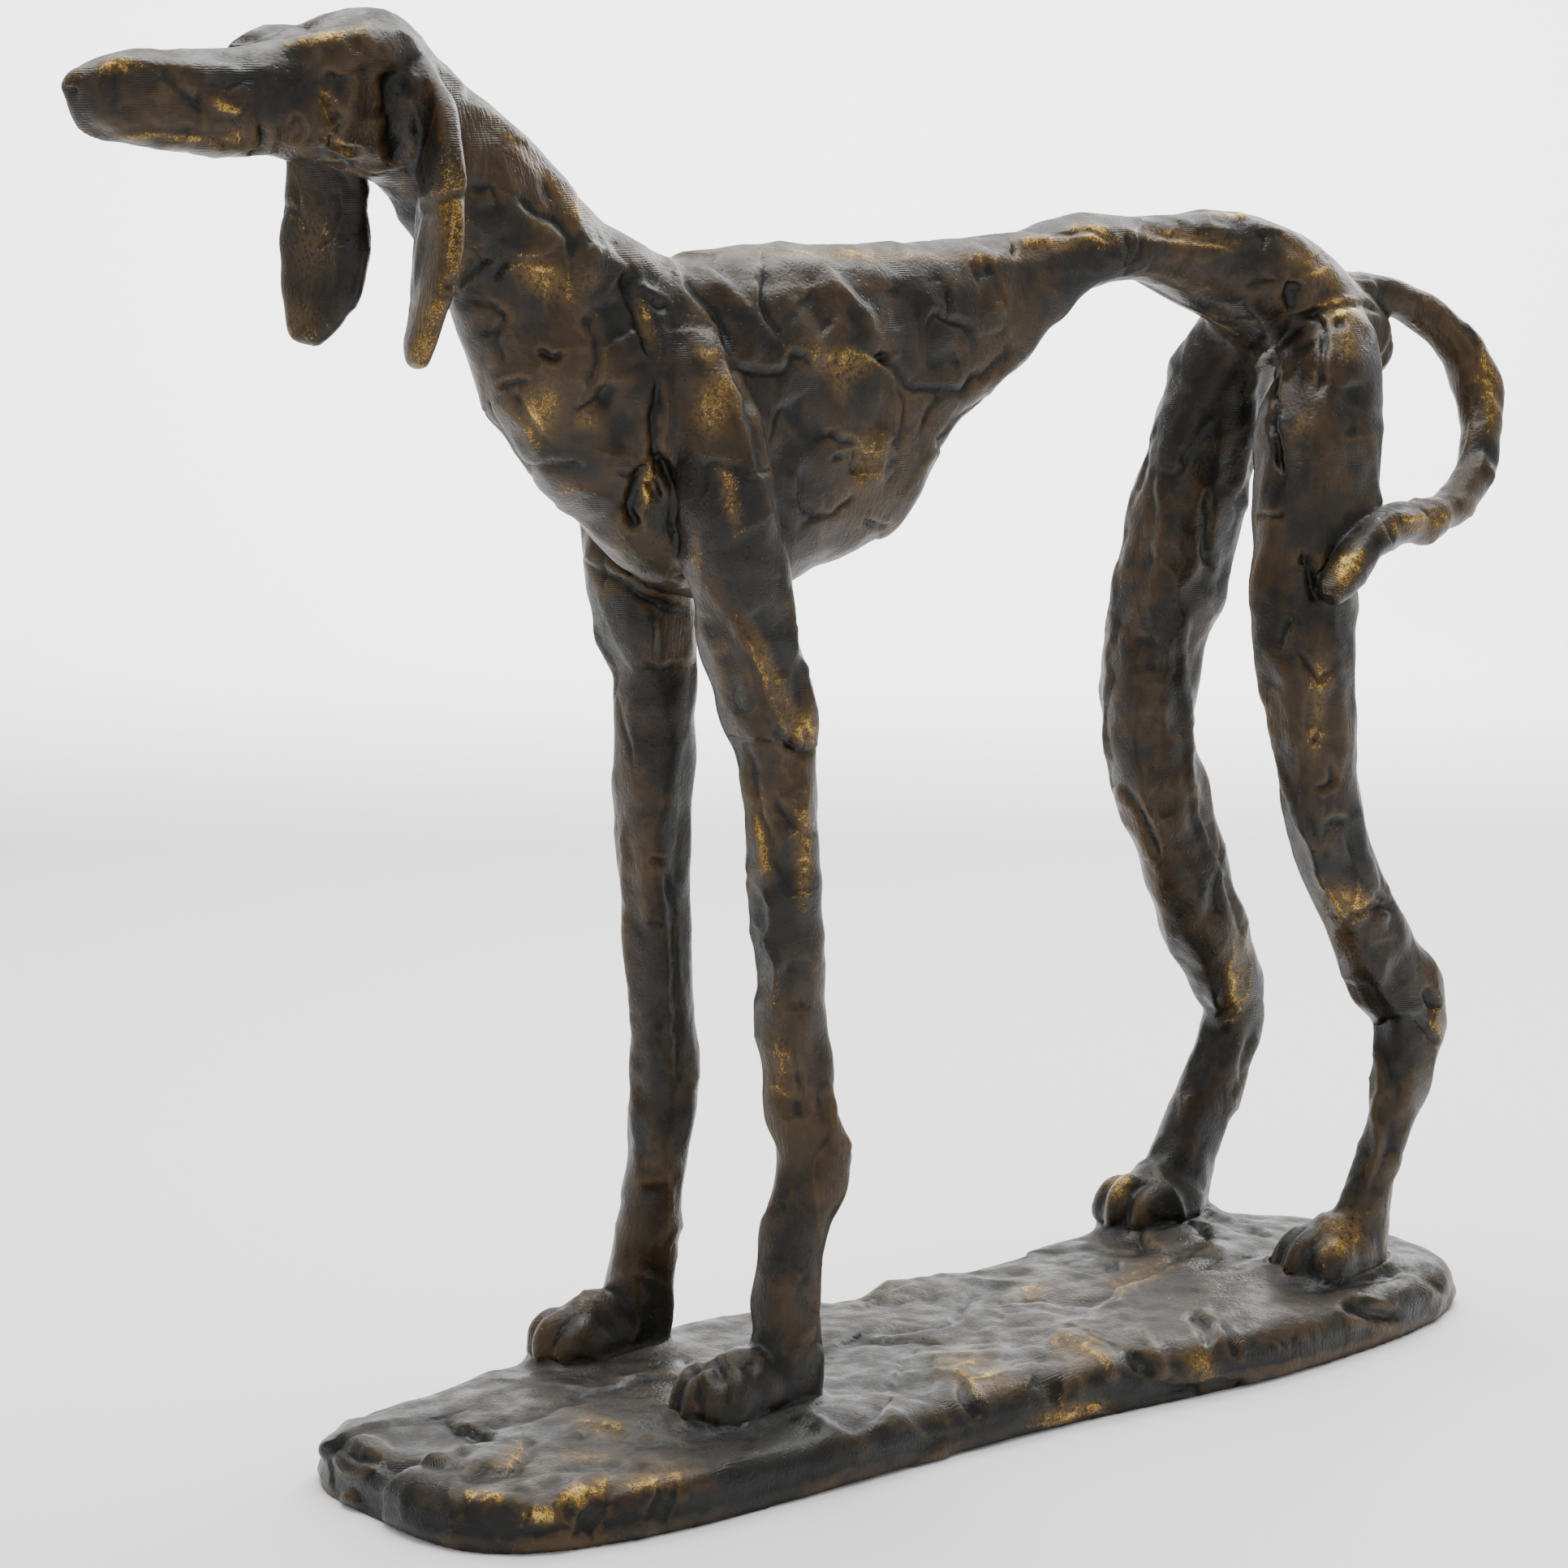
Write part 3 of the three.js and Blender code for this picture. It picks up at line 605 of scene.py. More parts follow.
@dataclass
class Surface:
    """Working skin as plain arrays, in millimetres."""

    points: np.ndarray
    triangles: np.ndarray
    links: np.ndarray

    @staticmethod
    def of(mesh: bpy.types.Mesh) -> "Surface":
        """Reads a mesh that is in metres.

        Args:
            mesh: Mesh with its place in its points.

        Returns:
            The same surface as arrays.
        """
        points = np.empty(len(mesh.vertices) * 3, dtype=np.float32)
        mesh.vertices.foreach_get("co", points)
        mesh.calc_loop_triangles()
        triangles = np.empty(len(mesh.loop_triangles) * 3, dtype=np.int32)
        mesh.loop_triangles.foreach_get("vertices", triangles)
        links = np.empty(len(mesh.edges) * 2, dtype=np.int32)
        mesh.edges.foreach_get("vertices", links)
        return Surface(
            points.astype(float).reshape(-1, 3) / MM, triangles.reshape(-1, 3), links.reshape(-1, 2)
        )

    def write(self, mesh: bpy.types.Mesh) -> None:
        """Puts the points back into the mesh that they came from."""
        mesh.vertices.foreach_set("co", (self.points * MM).astype(np.float32).ravel())
        mesh.update()

    def normals(self) -> np.ndarray:
        """Unit normals of the points, weighted by area."""
        a, b, c = (self.points[self.triangles[:, k]] for k in range(3))
        flat = np.cross(b - a, c - a)
        count = len(self.points)
        total = np.zeros((count, 3))
        for corner in range(3):
            for axis in range(3):
                total[:, axis] += np.bincount(self.triangles[:, corner], flat[:, axis], count)
        return total / np.maximum(np.linalg.norm(total, axis=1, keepdims=True), 1e-12)

    def smoothed(self, values: np.ndarray, rounds: int) -> np.ndarray:
        """Values averaged with their neighbours.

        Args:
            values: One row for each point.
            rounds: How many times half of each value is shared out.

        Returns:
            The averaged values, in the same shape.
        """
        start, end = self.links.T
        count = len(values)
        shares = np.bincount(start, minlength=count) + np.bincount(end, minlength=count)
        out = values.reshape(count, -1)
        for _ in range(rounds):
            columns = [
                np.bincount(start, column[end], count) + np.bincount(end, column[start], count)
                for column in out.T
            ]
            out = 0.5 * out + 0.5 * np.stack(columns, 1) / np.maximum(shares, 1)[:, None]
        return out.reshape(values.shape)


# Where one part of the figure gives way to the next, in millimetres: the part's share rises
# from 0 at the first value to 1 at the second.
BASE_Z = (19, 15.5)
FORE_X, FORE_FRONT_X, FORE_Z = (-30, -42), (-122, -108), (222, 200)
HIND_X, HIND_REAR_X, HIND_Z = (70, 84), (200, 190), (262, 240)
TAIL_X, TAIL_Z = (157, 167), (188, 198)
TAIL_TIP_X, TAIL_TIP_Y, TAIL_TIP_Z, TAIL_TIP_TOP = (90, 97), (-33, -37), (198, 204), (236, 228)
HEAD_MIDDLE_Y = 5
EAR_X, EAR_Y, EAR_Z = (-145, -152), (13, 18), (345, 330)
HEAD_X, HEAD_Z = (-132, -146), (305, 318)
LOIN_X = (18, 48)


@dataclass(frozen=True)
class Zones:
    """How far each point belongs to each part of the figure, from 0 to 1."""

    base: np.ndarray
    legs: np.ndarray
    head: np.ndarray
    ears: np.ndarray
    tail: np.ndarray
    loin: np.ndarray
    trunk: np.ndarray

    @staticmethod
    def of(p: np.ndarray) -> "Zones":
        """Sorts points into parts by where they are.

        Args:
            p: Places in millimetres, shape (n, 3).

        Returns:
            The shares of each part.
        """
        x, y, z = p.T
        base = blend(*BASE_Z, z)
        fore = blend(*FORE_X, x) * blend(*FORE_FRONT_X, x) * blend(*FORE_Z, z)
        hind = blend(*HIND_X, x) * blend(*HIND_REAR_X, x) * blend(*HIND_Z, z)
        loop = blend(*TAIL_X, x) * blend(*TAIL_Z, z)
        tip = blend(*TAIL_TIP_Y, y) * blend(*TAIL_TIP_X, x)
        tip *= blend(*TAIL_TIP_Z, z) * blend(*TAIL_TIP_TOP, z)
        tail = np.maximum(loop, tip)
        legs = np.maximum(fore, hind) * (1 - base) * (1 - tail)
        ears = blend(*EAR_Y, np.abs(y - HEAD_MIDDLE_Y)) * blend(*EAR_X, x) * blend(*EAR_Z, z)
        head = blend(*HEAD_X, x) * blend(*HEAD_Z, z) * (1 - ears)
        rest = np.clip(1 - base - legs - ears - head - tail, 0, 1)
        loin = rest * blend(*LOIN_X, x)
        return Zones(base, legs, head, ears, tail, loin, rest - loin)


@dataclass(frozen=True)
class Touch:
    """How one part was worked: widths and depths of thumb presses and of laid-on pads in
    millimetres, and how far the pattern is drawn out along each axis."""

    press: float
    depth: float
    pad: float
    step: float
    stretch: tuple


@dataclass(frozen=True)
class Relief:
    """Hand-modelled clay surface, its sizes in millimetres."""

    trunk: Touch = Touch(22.0, 2.6, 30.0, 1.5, (0.7, 1.0, 0.9))
    loin: Touch = Touch(18.0, 2.0, 24.0, 1.3, (0.4, 1.0, 0.9))
    tail: Touch = Touch(15.0, 1.7, 18.0, 0.8, (0.8, 1.0, 0.6))
    legs: Touch = Touch(11.0, 2.2, 12.0, 0.7, (1.0, 1.0, 0.18))
    head: Touch = Touch(11.0, 1.9, 14.0, 0.8, (0.6, 1.0, 1.0))
    ears: Touch = Touch(11.0, 1.5, 14.0, 0.7, (1.0, 1.0, 0.45))
    base: Touch = Touch(28.0, 2.6, 42.0, 3.2, (0.55, 1.0, 1.0))
    lump_size: float = 4.2
    lump_height: float = 0.16
    crack_gap: float = 27.0
    crack_width: float = 0.6
    crack_depth: float = 0.7
    patch_size: float = 30.0
    crack_patch: float = 13.0

    def height(self, p: np.ndarray, zones: Zones, shown: np.ndarray) -> np.ndarray:
        """Height of the clay surface over the plain form, finer on the side that is shown.

        Args:
            p: Places in millimetres, shape (n, 3).
            zones: Which part each point belongs to.
            shown: How well the photograph sees each point.

        Returns:
            Heights in millimetres.
        """
        total = np.zeros(len(p))
        wandering = warp(warp(p, 14.0, 5.5, 3), 6.0, 1.6, 7)
        flat = blend(-0.25, 0.35, noise(p, self.patch_size, 23))
        parts = ("trunk", "legs", "head", "ears", "base", "tail", "loin")
        for seed, part in enumerate(parts):
            share, touch = getattr(zones, part), getattr(self, part)
            some = share > 0.01
            q = wandering[some] * touch.stretch
            pressed = touch.depth * presses(q, touch.press, 31 + 40 * seed)
            steepness = touch.pad**2 * 0.7 / touch.step
            padded = touch.step * slabs(q, touch.pad, 51 + 40 * seed, steepness)
            calm = flat[some]
            hidden = 1 - shown[some]
            pressed *= (1 - 0.65 * calm) * (1 + 0.4 * hidden)
            padded *= (0.35 + 0.65 * calm) * (1 - 0.3 * hidden)
            total[some] += share[some] * (pressed + padded)
        total += self.lump_height * noise(wandering, self.lump_size, 301) * (0.7 + 0.3 * shown)
        split = np.exp(-((cracks(warp(p, 5.0, 2.0, 61), self.crack_gap, 71) / self.crack_width) ** 2))
        whole = 0.85 * zones.legs + 0.7 * zones.base
        open_share = blend(0.32, 0.62, noise(p, self.crack_patch, 81)) * (1 - whole)
        total -= self.crack_depth * split * open_share * (0.5 + 0.5 * shown)
        return total


@dataclass
class Modelling:
    """The strokes and gold that the photograph shows, laid on from its viewpoint."""

    view: Viewpoint
    strokes: tuple
    gildings: tuple
    grid_px: float = 6.0
    slack_mm: float = 5.0
    wobble_mm: float = 0.9
    shake_mm: float = 0.3
    taper: float = 0.22
    wobble_size: float = 5.0
    shake_size: float = 1.8
    pressure_size: float = 6.0

    def seen(self, p: np.ndarray, normals: np.ndarray) -> np.ndarray:
        """How well the photograph sees each point.

        Args:
            p: Places in millimetres.
            normals: Their unit normals.

        Returns:
            1 for a point in plain view, 0 for a hidden one, less than 1 near the outline.
        """
        uv, depth = self.view.project(p)
        cells = np.clip((uv / self.grid_px).astype(int), 0, None)
        width = int(self.view.frame_px / self.grid_px) + 2
        key = np.clip(cells[:, 0], 0, width - 1) + width * np.clip(cells[:, 1], 0, width - 1)
        nearest = np.full(width * width, np.inf)
        np.minimum.at(nearest, key, depth)
        toward = self.view.eye() - p
        toward /= np.linalg.norm(toward, axis=1, keepdims=True)
        facing = (toward * normals).sum(1)
        return (depth < nearest[key] + self.slack_mm) * blend(0.02, 0.3, facing)

    @staticmethod
    def eased(path: tuple) -> np.ndarray:
        """Path with its corners cut twice, so that it runs smoothly."""
        line = np.array(path, dtype=float).reshape(-1, 2)
        for _ in range(2):
            start, end = line[:-1], line[1:]
            cut = np.stack([start * 0.75 + end * 0.25, start * 0.25 + end * 0.75], 1).reshape(-1, 2)
            line = np.concatenate([line[:1], cut, line[-1:]])
        return line

    @staticmethod
    def profile(mark: Mark, side: np.ndarray, width: float) -> np.ndarray:
        """Cross-section of a stroke.

        Args:
            mark: Kind of stroke.
            side: Distance from the path in millimetres, positive on its left.
            width: Half width in millimetres.

        Returns:
            Heights for a depth of 1.
        """
        s = side / width
        d = np.abs(s)
        if mark is CREASE:
            return -np.exp(-(d**1.6)) + np.where(s > 0, 0.4, 0.12) * np.exp(-((d - 2) ** 2))
        if mark is LEDGE:
            lip = np.exp(-np.maximum(s, 0) / 5) / (1 + np.exp(-np.clip(s, -20, 20) * 3))
            return lip - 0.6 * np.exp(-(((s + 0.8) / 0.8) ** 2))
        if mark is RIDGE:
            return np.exp(-(d**2)) - 0.12 * np.exp(-((d - 2) ** 2))
        if mark is PIT:
            return -np.exp(-(d**3)) + np.where(s > 0, 0.35, 0.1) * np.exp(-(((d - 1.8) / 0.7) ** 2))
        return -np.exp(-(d**2)) + np.where(s > 0, 0.2, 0.05) * np.exp(-(((d - 1.6) / 0.4) ** 2))

    def height(self, p: np.ndarray, seen: np.ndarray) -> np.ndarray:
        """Height that the strokes add.

        Args:
            p: Places in millimetres.
            seen: How well each is in view.

        Returns:
            Heights in millimetres.
        """
        uv, depth = self.view.project(p)
        scale = depth / self.view.focal_px
        wobble = np.zeros((len(p), 2))
        bends = ((self.wobble_size, self.wobble_mm, 401), (self.shake_size, self.shake_mm, 403))
        for size, reach, seed in bends:
            wobble += np.stack([noise(p, size, seed), noise(p, size, seed + 1)], 1) * reach
        uv = uv + wobble / scale[:, None]
        strength = seen * (1.0 + 0.4 * noise(p, self.pressure_size, 411))
        total = np.zeros(len(p))
        for stroke in self.strokes:
            line = self.eased(stroke.path)
            reach = 12 * stroke.width * self.view.focal_px / self.view.distance_mm
            low, high = line.min(0) - reach, line.max(0) + reach
            near = np.flatnonzero((seen > 0) & ((uv > low) & (uv < high)).all(1))
            best = np.full(len(near), np.inf)
            side = np.zeros(len(near))
            share = np.zeros(len(near))
            count = len(line) - 1
            for index, (start, end) in enumerate(zip(line[:-1], line[1:])):
                run = end - start
                rel = uv[near] - start
                t = np.clip(rel @ run / (run @ run), 0, 1)
                d = np.linalg.norm(rel - t[:, None] * run, axis=1)
                closer = d < best
                best[closer] = d[closer]
                turn = rel[:, 0] * run[1] - rel[:, 1] * run[0]
                side[closer] = np.sign(turn[closer])
                share[closer] = (index + t[closer]) / count
            fade = blend(-0.02, self.taper, share) * blend(1.02, 1 - self.taper, share)
            width = stroke.width * (0.6 + 0.4 * fade)
            lift = self.profile(stroke.mark, best * side * scale[near], width)
            total[near] += stroke.depth * lift * strength[near] * (0.25 + 0.75 * fade)
        return total

    def gold(self, p: np.ndarray, seen: np.ndarray) -> np.ndarray:
        """How much gold was rubbed on at each point.

        Args:
            p: Places in millimetres.
            seen: How well each is in view.

        Returns:
            Shares from 0 to 1.
        """
        uv, _ = self.view.project(p)
        total = np.zeros(len(p))
        for patch in self.gildings:
            rel = uv - patch.middle
            a = math.radians(patch.slant)
            along = (rel[:, 0] * math.cos(a) + rel[:, 1] * math.sin(a)) / patch.half[0]
            across = (rel[:, 1] * math.cos(a) - rel[:, 0] * math.sin(a)) / patch.half[1]
            total = np.maximum(total, patch.strength * np.exp(-(along**2 + across**2) * 0.7))
        return total * (seen > 0)


@dataclass(frozen=True)
class Joint:
    """Place where one limb is smeared into another, in millimetres."""

    name: str
    middle: tuple
    reach: float


JOINTS = (
    Joint("near_shoulder", (-87, -24, 266), 24),
    Joint("far_shoulder", (-84, 28, 264), 22),
    Joint("near_hip", (138, -10, 262), 18),
    Joint("far_hip", (134, 16, 262), 18),
    Joint("tail_root", (150, 3, 268), 10),
)


@dataclass
class Casting:
    """The whole sculpture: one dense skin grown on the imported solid's form."""

    relief: Relief
    modelling: Modelling
    voxel_mm: float = 0.72
    melt_rounds: int = 30
    smear_rounds: int = 240
    triangle_limit: int = 195000
    foot_mm: float = 1.6
    weld_mm: float = 0.01
    flat_mm: float = 0.3
    slab_top_mm: tuple = ((2.0, 6.0), (17.0, 15.0))
    slab_melt: float = 0.8
    crest_rounds: int = 5
    crest_mm: float = 0.16
    hollow_rounds: int = 45
    hollow_mm: float = 0.9
    base_paint_mm: tuple = (20.0, 16.0)
    # painted shade: the base's upright sides, and the legs more towards the bottom, are darkened as if in
    # shade
    low_leg_shade_mm: tuple = (130.0, 30.0)
    base_side_shade: float = 0.6
    low_leg_shade: float = 0.3
    upright: tuple = (0.8, 0.35)
    gold_rounds: int = 2
    stray_mm: float = 22.0
    stray_noise: tuple = (0.25, 0.75)
    stray_gold: tuple = (0.19, 0.13)

    def blank(self) -> bpy.types.Object:
        """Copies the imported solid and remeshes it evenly.

        Returns:
            The new object, still plain.
        """
        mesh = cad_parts[NODE].data.copy()
        mesh.name = "hound_casting"
        mesh.materials.clear()
        piece = bpy.data.objects.new("hound_casting", mesh)
        bpy.context.scene.collection.objects.link(piece)
        bpy.ops.object.select_all(action="DESELECT")
        piece.select_set(True)
        bpy.context.view_layer.objects.active = piece
        bpy.ops.object.mode_set(mode="EDIT")
        bpy.ops.mesh.select_all(action="SELECT")
        bpy.ops.mesh.remove_doubles(threshold=self.weld_mm * MM)
        bpy.ops.object.mode_set(mode="OBJECT")
        remesh = piece.modifiers.new("remesh", "REMESH")
        remesh.mode = "VOXEL"
        remesh.voxel_size = self.voxel_mm * MM
        bpy.ops.object.modifier_apply(modifier=remesh.name)
        return piece

    def melt(self, surface: Surface) -> None:
        """Melts the facets and joints of the plain form, and keeps its underside flat."""
        plain = surface.points
        foot = blend(self.foot_mm, 0.0, plain[:, 2])[:, None]
        soft = surface.smoothed(plain, self.melt_rounds)
        smeared = surface.smoothed(soft, self.smear_rounds)
        rise, fall = self.slab_top_mm
        share = blend(*rise, plain[:, 2]) * blend(*fall, plain[:, 2]) * self.slab_melt
        for joint in JOINTS:
            away = np.linalg.norm(plain - joint.middle, axis=1) / joint.reach
            share = np.maximum(share, np.exp(-(away**2)))
        soft = soft + (smeared - soft) * share[:, None]
        surface.points = plain * foot + soft * (1 - foot)

    def build(self) -> bpy.types.Object:
        """Grows the modelled skin.

        Returns:
            The finished piece, with its painting attributes.
        """
        piece = self.blank()
        surface = Surface.of(piece.data)
        LOG.info("blank: %d points", len(surface.points))
        self.melt(surface)
        zones = Zones.of(surface.points)
        normals = surface.smoothed(surface.normals(), 4)
        normals /= np.linalg.norm(normals, axis=1, keepdims=True)
        seen = self.modelling.seen(surface.points, normals)
        shown = surface.smoothed(seen, 3)
        height = self.relief.height(surface.points, zones, shown)
        height += self.modelling.height(surface.points, shown)
        height *= blend(0.0, self.foot_mm, surface.points[:, 2])
        before = surface.points.copy()
        surface.points = surface.points + normals * height[:, None]
        surface.points[:, 2] = np.maximum(surface.points[:, 2], 0.0)
        low = before[:, 2] < self.flat_mm
        surface.points[low, 2] = before[low, 2]
        paint = self.paint(surface, shown)
        surface.write(piece.data)
        self.thin(piece, surface, paint)
        return piece

    def paint(self, surface: Surface, shown: np.ndarray) -> dict:
        """Finds crests, hollows and gold for the patina, and paints shade into the hollow value on the
        base's upright sides and the lower legs.

        Args:
            surface: The modelled skin.
            shown: How well the photograph sees each point.

        Returns:
            Named values from 0 to 1, one for each point.
        """
        normals = surface.normals()
        fine = ((surface.points - surface.smoothed(surface.points, self.crest_rounds)) * normals).sum(1)
        broad = ((surface.points - surface.smoothed(surface.points, self.hollow_rounds)) * normals).sum(1)
        crest = np.clip(0.5 + fine / self.crest_mm, 0, 1)
        z = surface.points[:, 2]
        on_base = blend(*self.base_paint_mm, z)
        upright = blend(*self.upright, np.abs(normals[:, 2]))
        # painted shade: the base's upright sides, and the legs more towards the bottom, are darkened
        # through the hollow value
        painted_shade = self.base_side_shade * on_base * upright
        painted_shade += self.low_leg_shade * blend(*self.low_leg_shade_mm, z) * (1 - on_base)
        hollow = np.clip(0.5 - broad / (self.hollow_mm - 0.3 * on_base) + painted_shade, 0, 1)
        gold = surface.smoothed(self.modelling.gold(surface.points, shown), self.gold_rounds)
        hidden_gold, less_shown = self.stray_gold
        stray = blend(*self.stray_noise, noise(surface.points, self.stray_mm, 501))
        stray *= hidden_gold - less_shown * shown
        return {"crest": crest, "hollow": hollow, "gold": np.maximum(gold, stray)}

    def thin(self, piece: bpy.types.Object, surface: Surface, paint: dict) -> None:
        """Brings the skin under its triangle limit and carries the finer skin's data over.

        Args:
            piece: The object that holds the dense mesh.
            surface: The dense skin.
            paint: Values for the patina on the dense skin.
        """
        bpy.ops.object.select_all(action="DESELECT")
        piece.select_set(True)
        bpy.context.view_layer.objects.active = piece
        decimate = piece.modifiers.new("thin", "DECIMATE")
        decimate.ratio = self.triangle_limit / len(surface.triangles)
        bpy.ops.object.modifier_apply(modifier=decimate.name)
        mesh = piece.data
        tree = KDTree(len(surface.points))
        for index, point in enumerate(surface.points * MM):
            tree.insert(point, index)
        tree.balance()
        nearest = np.array([tree.find(v.co)[1] for v in mesh.vertices])
        for name, values in paint.items():
            layer = mesh.attributes.new(name, "FLOAT", "POINT")
            layer.data.foreach_set("value", values[nearest].astype(np.float32))
        mesh.polygons.foreach_set("use_smooth", np.ones(len(mesh.polygons), dtype=bool))
        normals = surface.smoothed(surface.normals(), 1)
        normals /= np.linalg.norm(normals, axis=1, keepdims=True)
        mesh.normals_split_custom_set_from_vertices(normals[nearest].tolist())
        LOG.info("skin: %d triangles", len(mesh.polygons))


@dataclass(frozen=True)
class Patina:
    """Dark umber wax patina with gold rubbed on the crests, painted shade on the base's sides and lower
    legs, and a painted sheen on what faces up; colours are linear.
    """

    umber: tuple = (0.0080, 0.0069, 0.0054)
    brown: tuple = (0.036, 0.0200, 0.0076)
    # soot: dark patina in hollows, also painted shade on the base's upright sides and the lower legs
    soot_and_shade: tuple = (0.0018, 0.0020, 0.0017)
    # ash: grey dust on what faces up, also a painted sheen of the overhead light
    ash: tuple = (0.0120, 0.0125, 0.0066)
    bronze: tuple = (0.125, 0.071, 0.018)
    gold: tuple = (0.36, 0.215, 0.043)
    pale_gold: tuple = (0.60, 0.40, 0.108)
    roughness: float = 0.37
    specular: float = 0.29
    cloud_scale: float = 32.0
    blotch_scale: float = 150.0
    grain_scale: float = 1000.0
    speck_scale: float = 2400.0
    pit_scale: float = 620.0
    dent_scale: float = 210.0
    print_scale: float = 590.0
    print_patch_scale: float = 70.0
    strand_scale: tuple = (1000.0, 1000.0, 110.0)
    strand_turn: tuple = (0.25, -0.35, 0.0)
    bump_strength: float = 0.85
    bump_metres: float = 0.00028

    def material(self) -> bpy.types.Material:
        """Builds the shader.

        Returns:
            The material, on Object coordinates and the piece's own attributes.
        """
        material = bpy.data.materials.new("patina")
        material.use_nodes = True
        g = Graph(material.node_tree)
        shader = material.node_tree.nodes["Principled BSDF"]
        shader.inputs["Specular IOR Level"].default_value = self.specular
        at = g.node("ShaderNodeTexCoord").outputs["Object"]
        clouds = g.noise(at, self.cloud_scale, 4.0)
        blotches = g.noise(at, self.blotch_scale, 5.0)
        grain = g.noise(at, self.grain_scale, 4.0)
        specks = g.noise(at, self.speck_scale, 1.0)
        crest = g.attribute("crest")
        # hollow: dark patina in hollows, plus painted shade on the base's upright sides and the lower legs
        hollow = g.attribute("hollow")
        rubbed = g.attribute("gold")
        normal = g.node("ShaderNodeNewGeometry").outputs["Normal"]
        up = g.node("ShaderNodeSeparateXYZ", {0: normal}).outputs[2]

        # slate and brown in clouds; ash on what faces up, partly dust and partly a painted sheen of the
        # overhead light; soot in hollows, which also paints shade on the base's upright sides and the lower
        # legs
        tone = g.ramp(g.math("ADD", g.scaled(clouds, 0.65), g.scaled(blotches, 0.35)), 0.43, 0.6)
        colour = g.mix(tone, self.umber, self.brown)
        # painted sheen: what faces up turns ash grey, partly dust and partly a painted sheen of the
        # overhead light
        dust_and_sheen = g.math("MULTIPLY", g.ramp(up, 0.3, 0.95), g.ramp(blotches, 0.3, 0.7))
        colour = g.mix(g.scaled(dust_and_sheen, 0.8), colour, self.ash)
        colour = g.mix(g.scaled(g.ramp(hollow, 0.55, 0.85), 0.9), colour, self.soot_and_shade)
        # bronze on edges and round the gold
        edge = g.math("MULTIPLY", g.ramp(crest, 0.6, 1.0), g.ramp(clouds, 0.4, 0.6))
        colour = g.mix(g.scaled(edge, 0.22), colour, self.bronze)
        tint = g.math("MULTIPLY", g.ramp(rubbed, 0.04, 0.85), g.ramp(grain, 0.25, 0.6))
        colour = g.mix(g.scaled(tint, 0.8), colour, self.bronze)
        # gold dust, densest on crests that were rubbed hard
        wear = g.math("ADD", g.scaled(crest, 0.9), g.scaled(grain, 0.5))
        worn = g.ramp(g.math("ADD", wear, g.scaled(rubbed, 0.65)), 1.04, 1.85)
        dust = g.ramp(g.math("ADD", specks, g.scaled(worn, 0.37)), 0.6, 0.9)
        mask = g.math("MULTIPLY", dust, g.ramp(worn, 0.0, 0.35))
        leaf = g.mix(g.ramp(worn, 0.6, 1.0), self.gold, self.pale_gold)
        colour = g.mix(mask, colour, leaf)
        g.link(colour, shader.inputs["Base Color"])
        g.link(g.scaled(mask, 0.5), shader.inputs["Metallic"])
        rough = g.math("ADD", g.scaled(grain, 0.24), self.roughness - 0.12)
        rough = g.math("ADD", rough, g.scaled(dust_and_sheen, 0.25))
        g.link(g.math("ADD", rough, g.scaled(mask, 0.06)), shader.inputs["Roughness"])
        # grain, pinholes, drawn-out strands, thumbprints and dents
        pits = g.node("ShaderNodeTexVoronoi", {"Vector": at, "Scale": self.pit_scale}).outputs["Distance"]
        rise = g.math("ADD", g.scaled(grain, 0.7), g.scaled(g.ramp(pits, 0.0, 0.3), 0.45))
        brushed = g.node("ShaderNodeMapping", {"Vector": at, "Scale": self.strand_scale})
        brushed.inputs["Rotation"].default_value = self.strand_turn
        strands = g.noise(brushed.outputs[0], 1.0, 2.0)
        rise = g.math("ADD", rise, g.math("MULTIPLY", g.scaled(strands, 1.6), g.ramp(clouds, 0.5, 0.68)))
        whorl = g.node("ShaderNodeTexWave", {"Vector": at, "Scale": self.print_scale, "Distortion": 1.6})
        whorl.inputs["Detail"].default_value = 0.0
        whorl.wave_type = "RINGS"
        patches = g.ramp(g.noise(at, self.print_patch_scale, 1.0), 0.58, 0.66)
        prints = g.math("MULTIPLY", whorl.outputs["Fac"], patches)
        rise = g.math("ADD", rise, g.scaled(prints, 0.28))
        dents = g.node("ShaderNodeTexVoronoi", {"Vector": at, "Scale": self.dent_scale})
        dents.feature = "SMOOTH_F1"
        rise = g.math("ADD", rise, g.scaled(dents.outputs["Distance"], 0.6))
        sizes = {"Strength": self.bump_strength, "Distance": self.bump_metres}
        bump = g.node("ShaderNodeBump", {**sizes, "Height": rise})
        g.link(bump.outputs["Normal"], shader.inputs["Normal"])
        return material


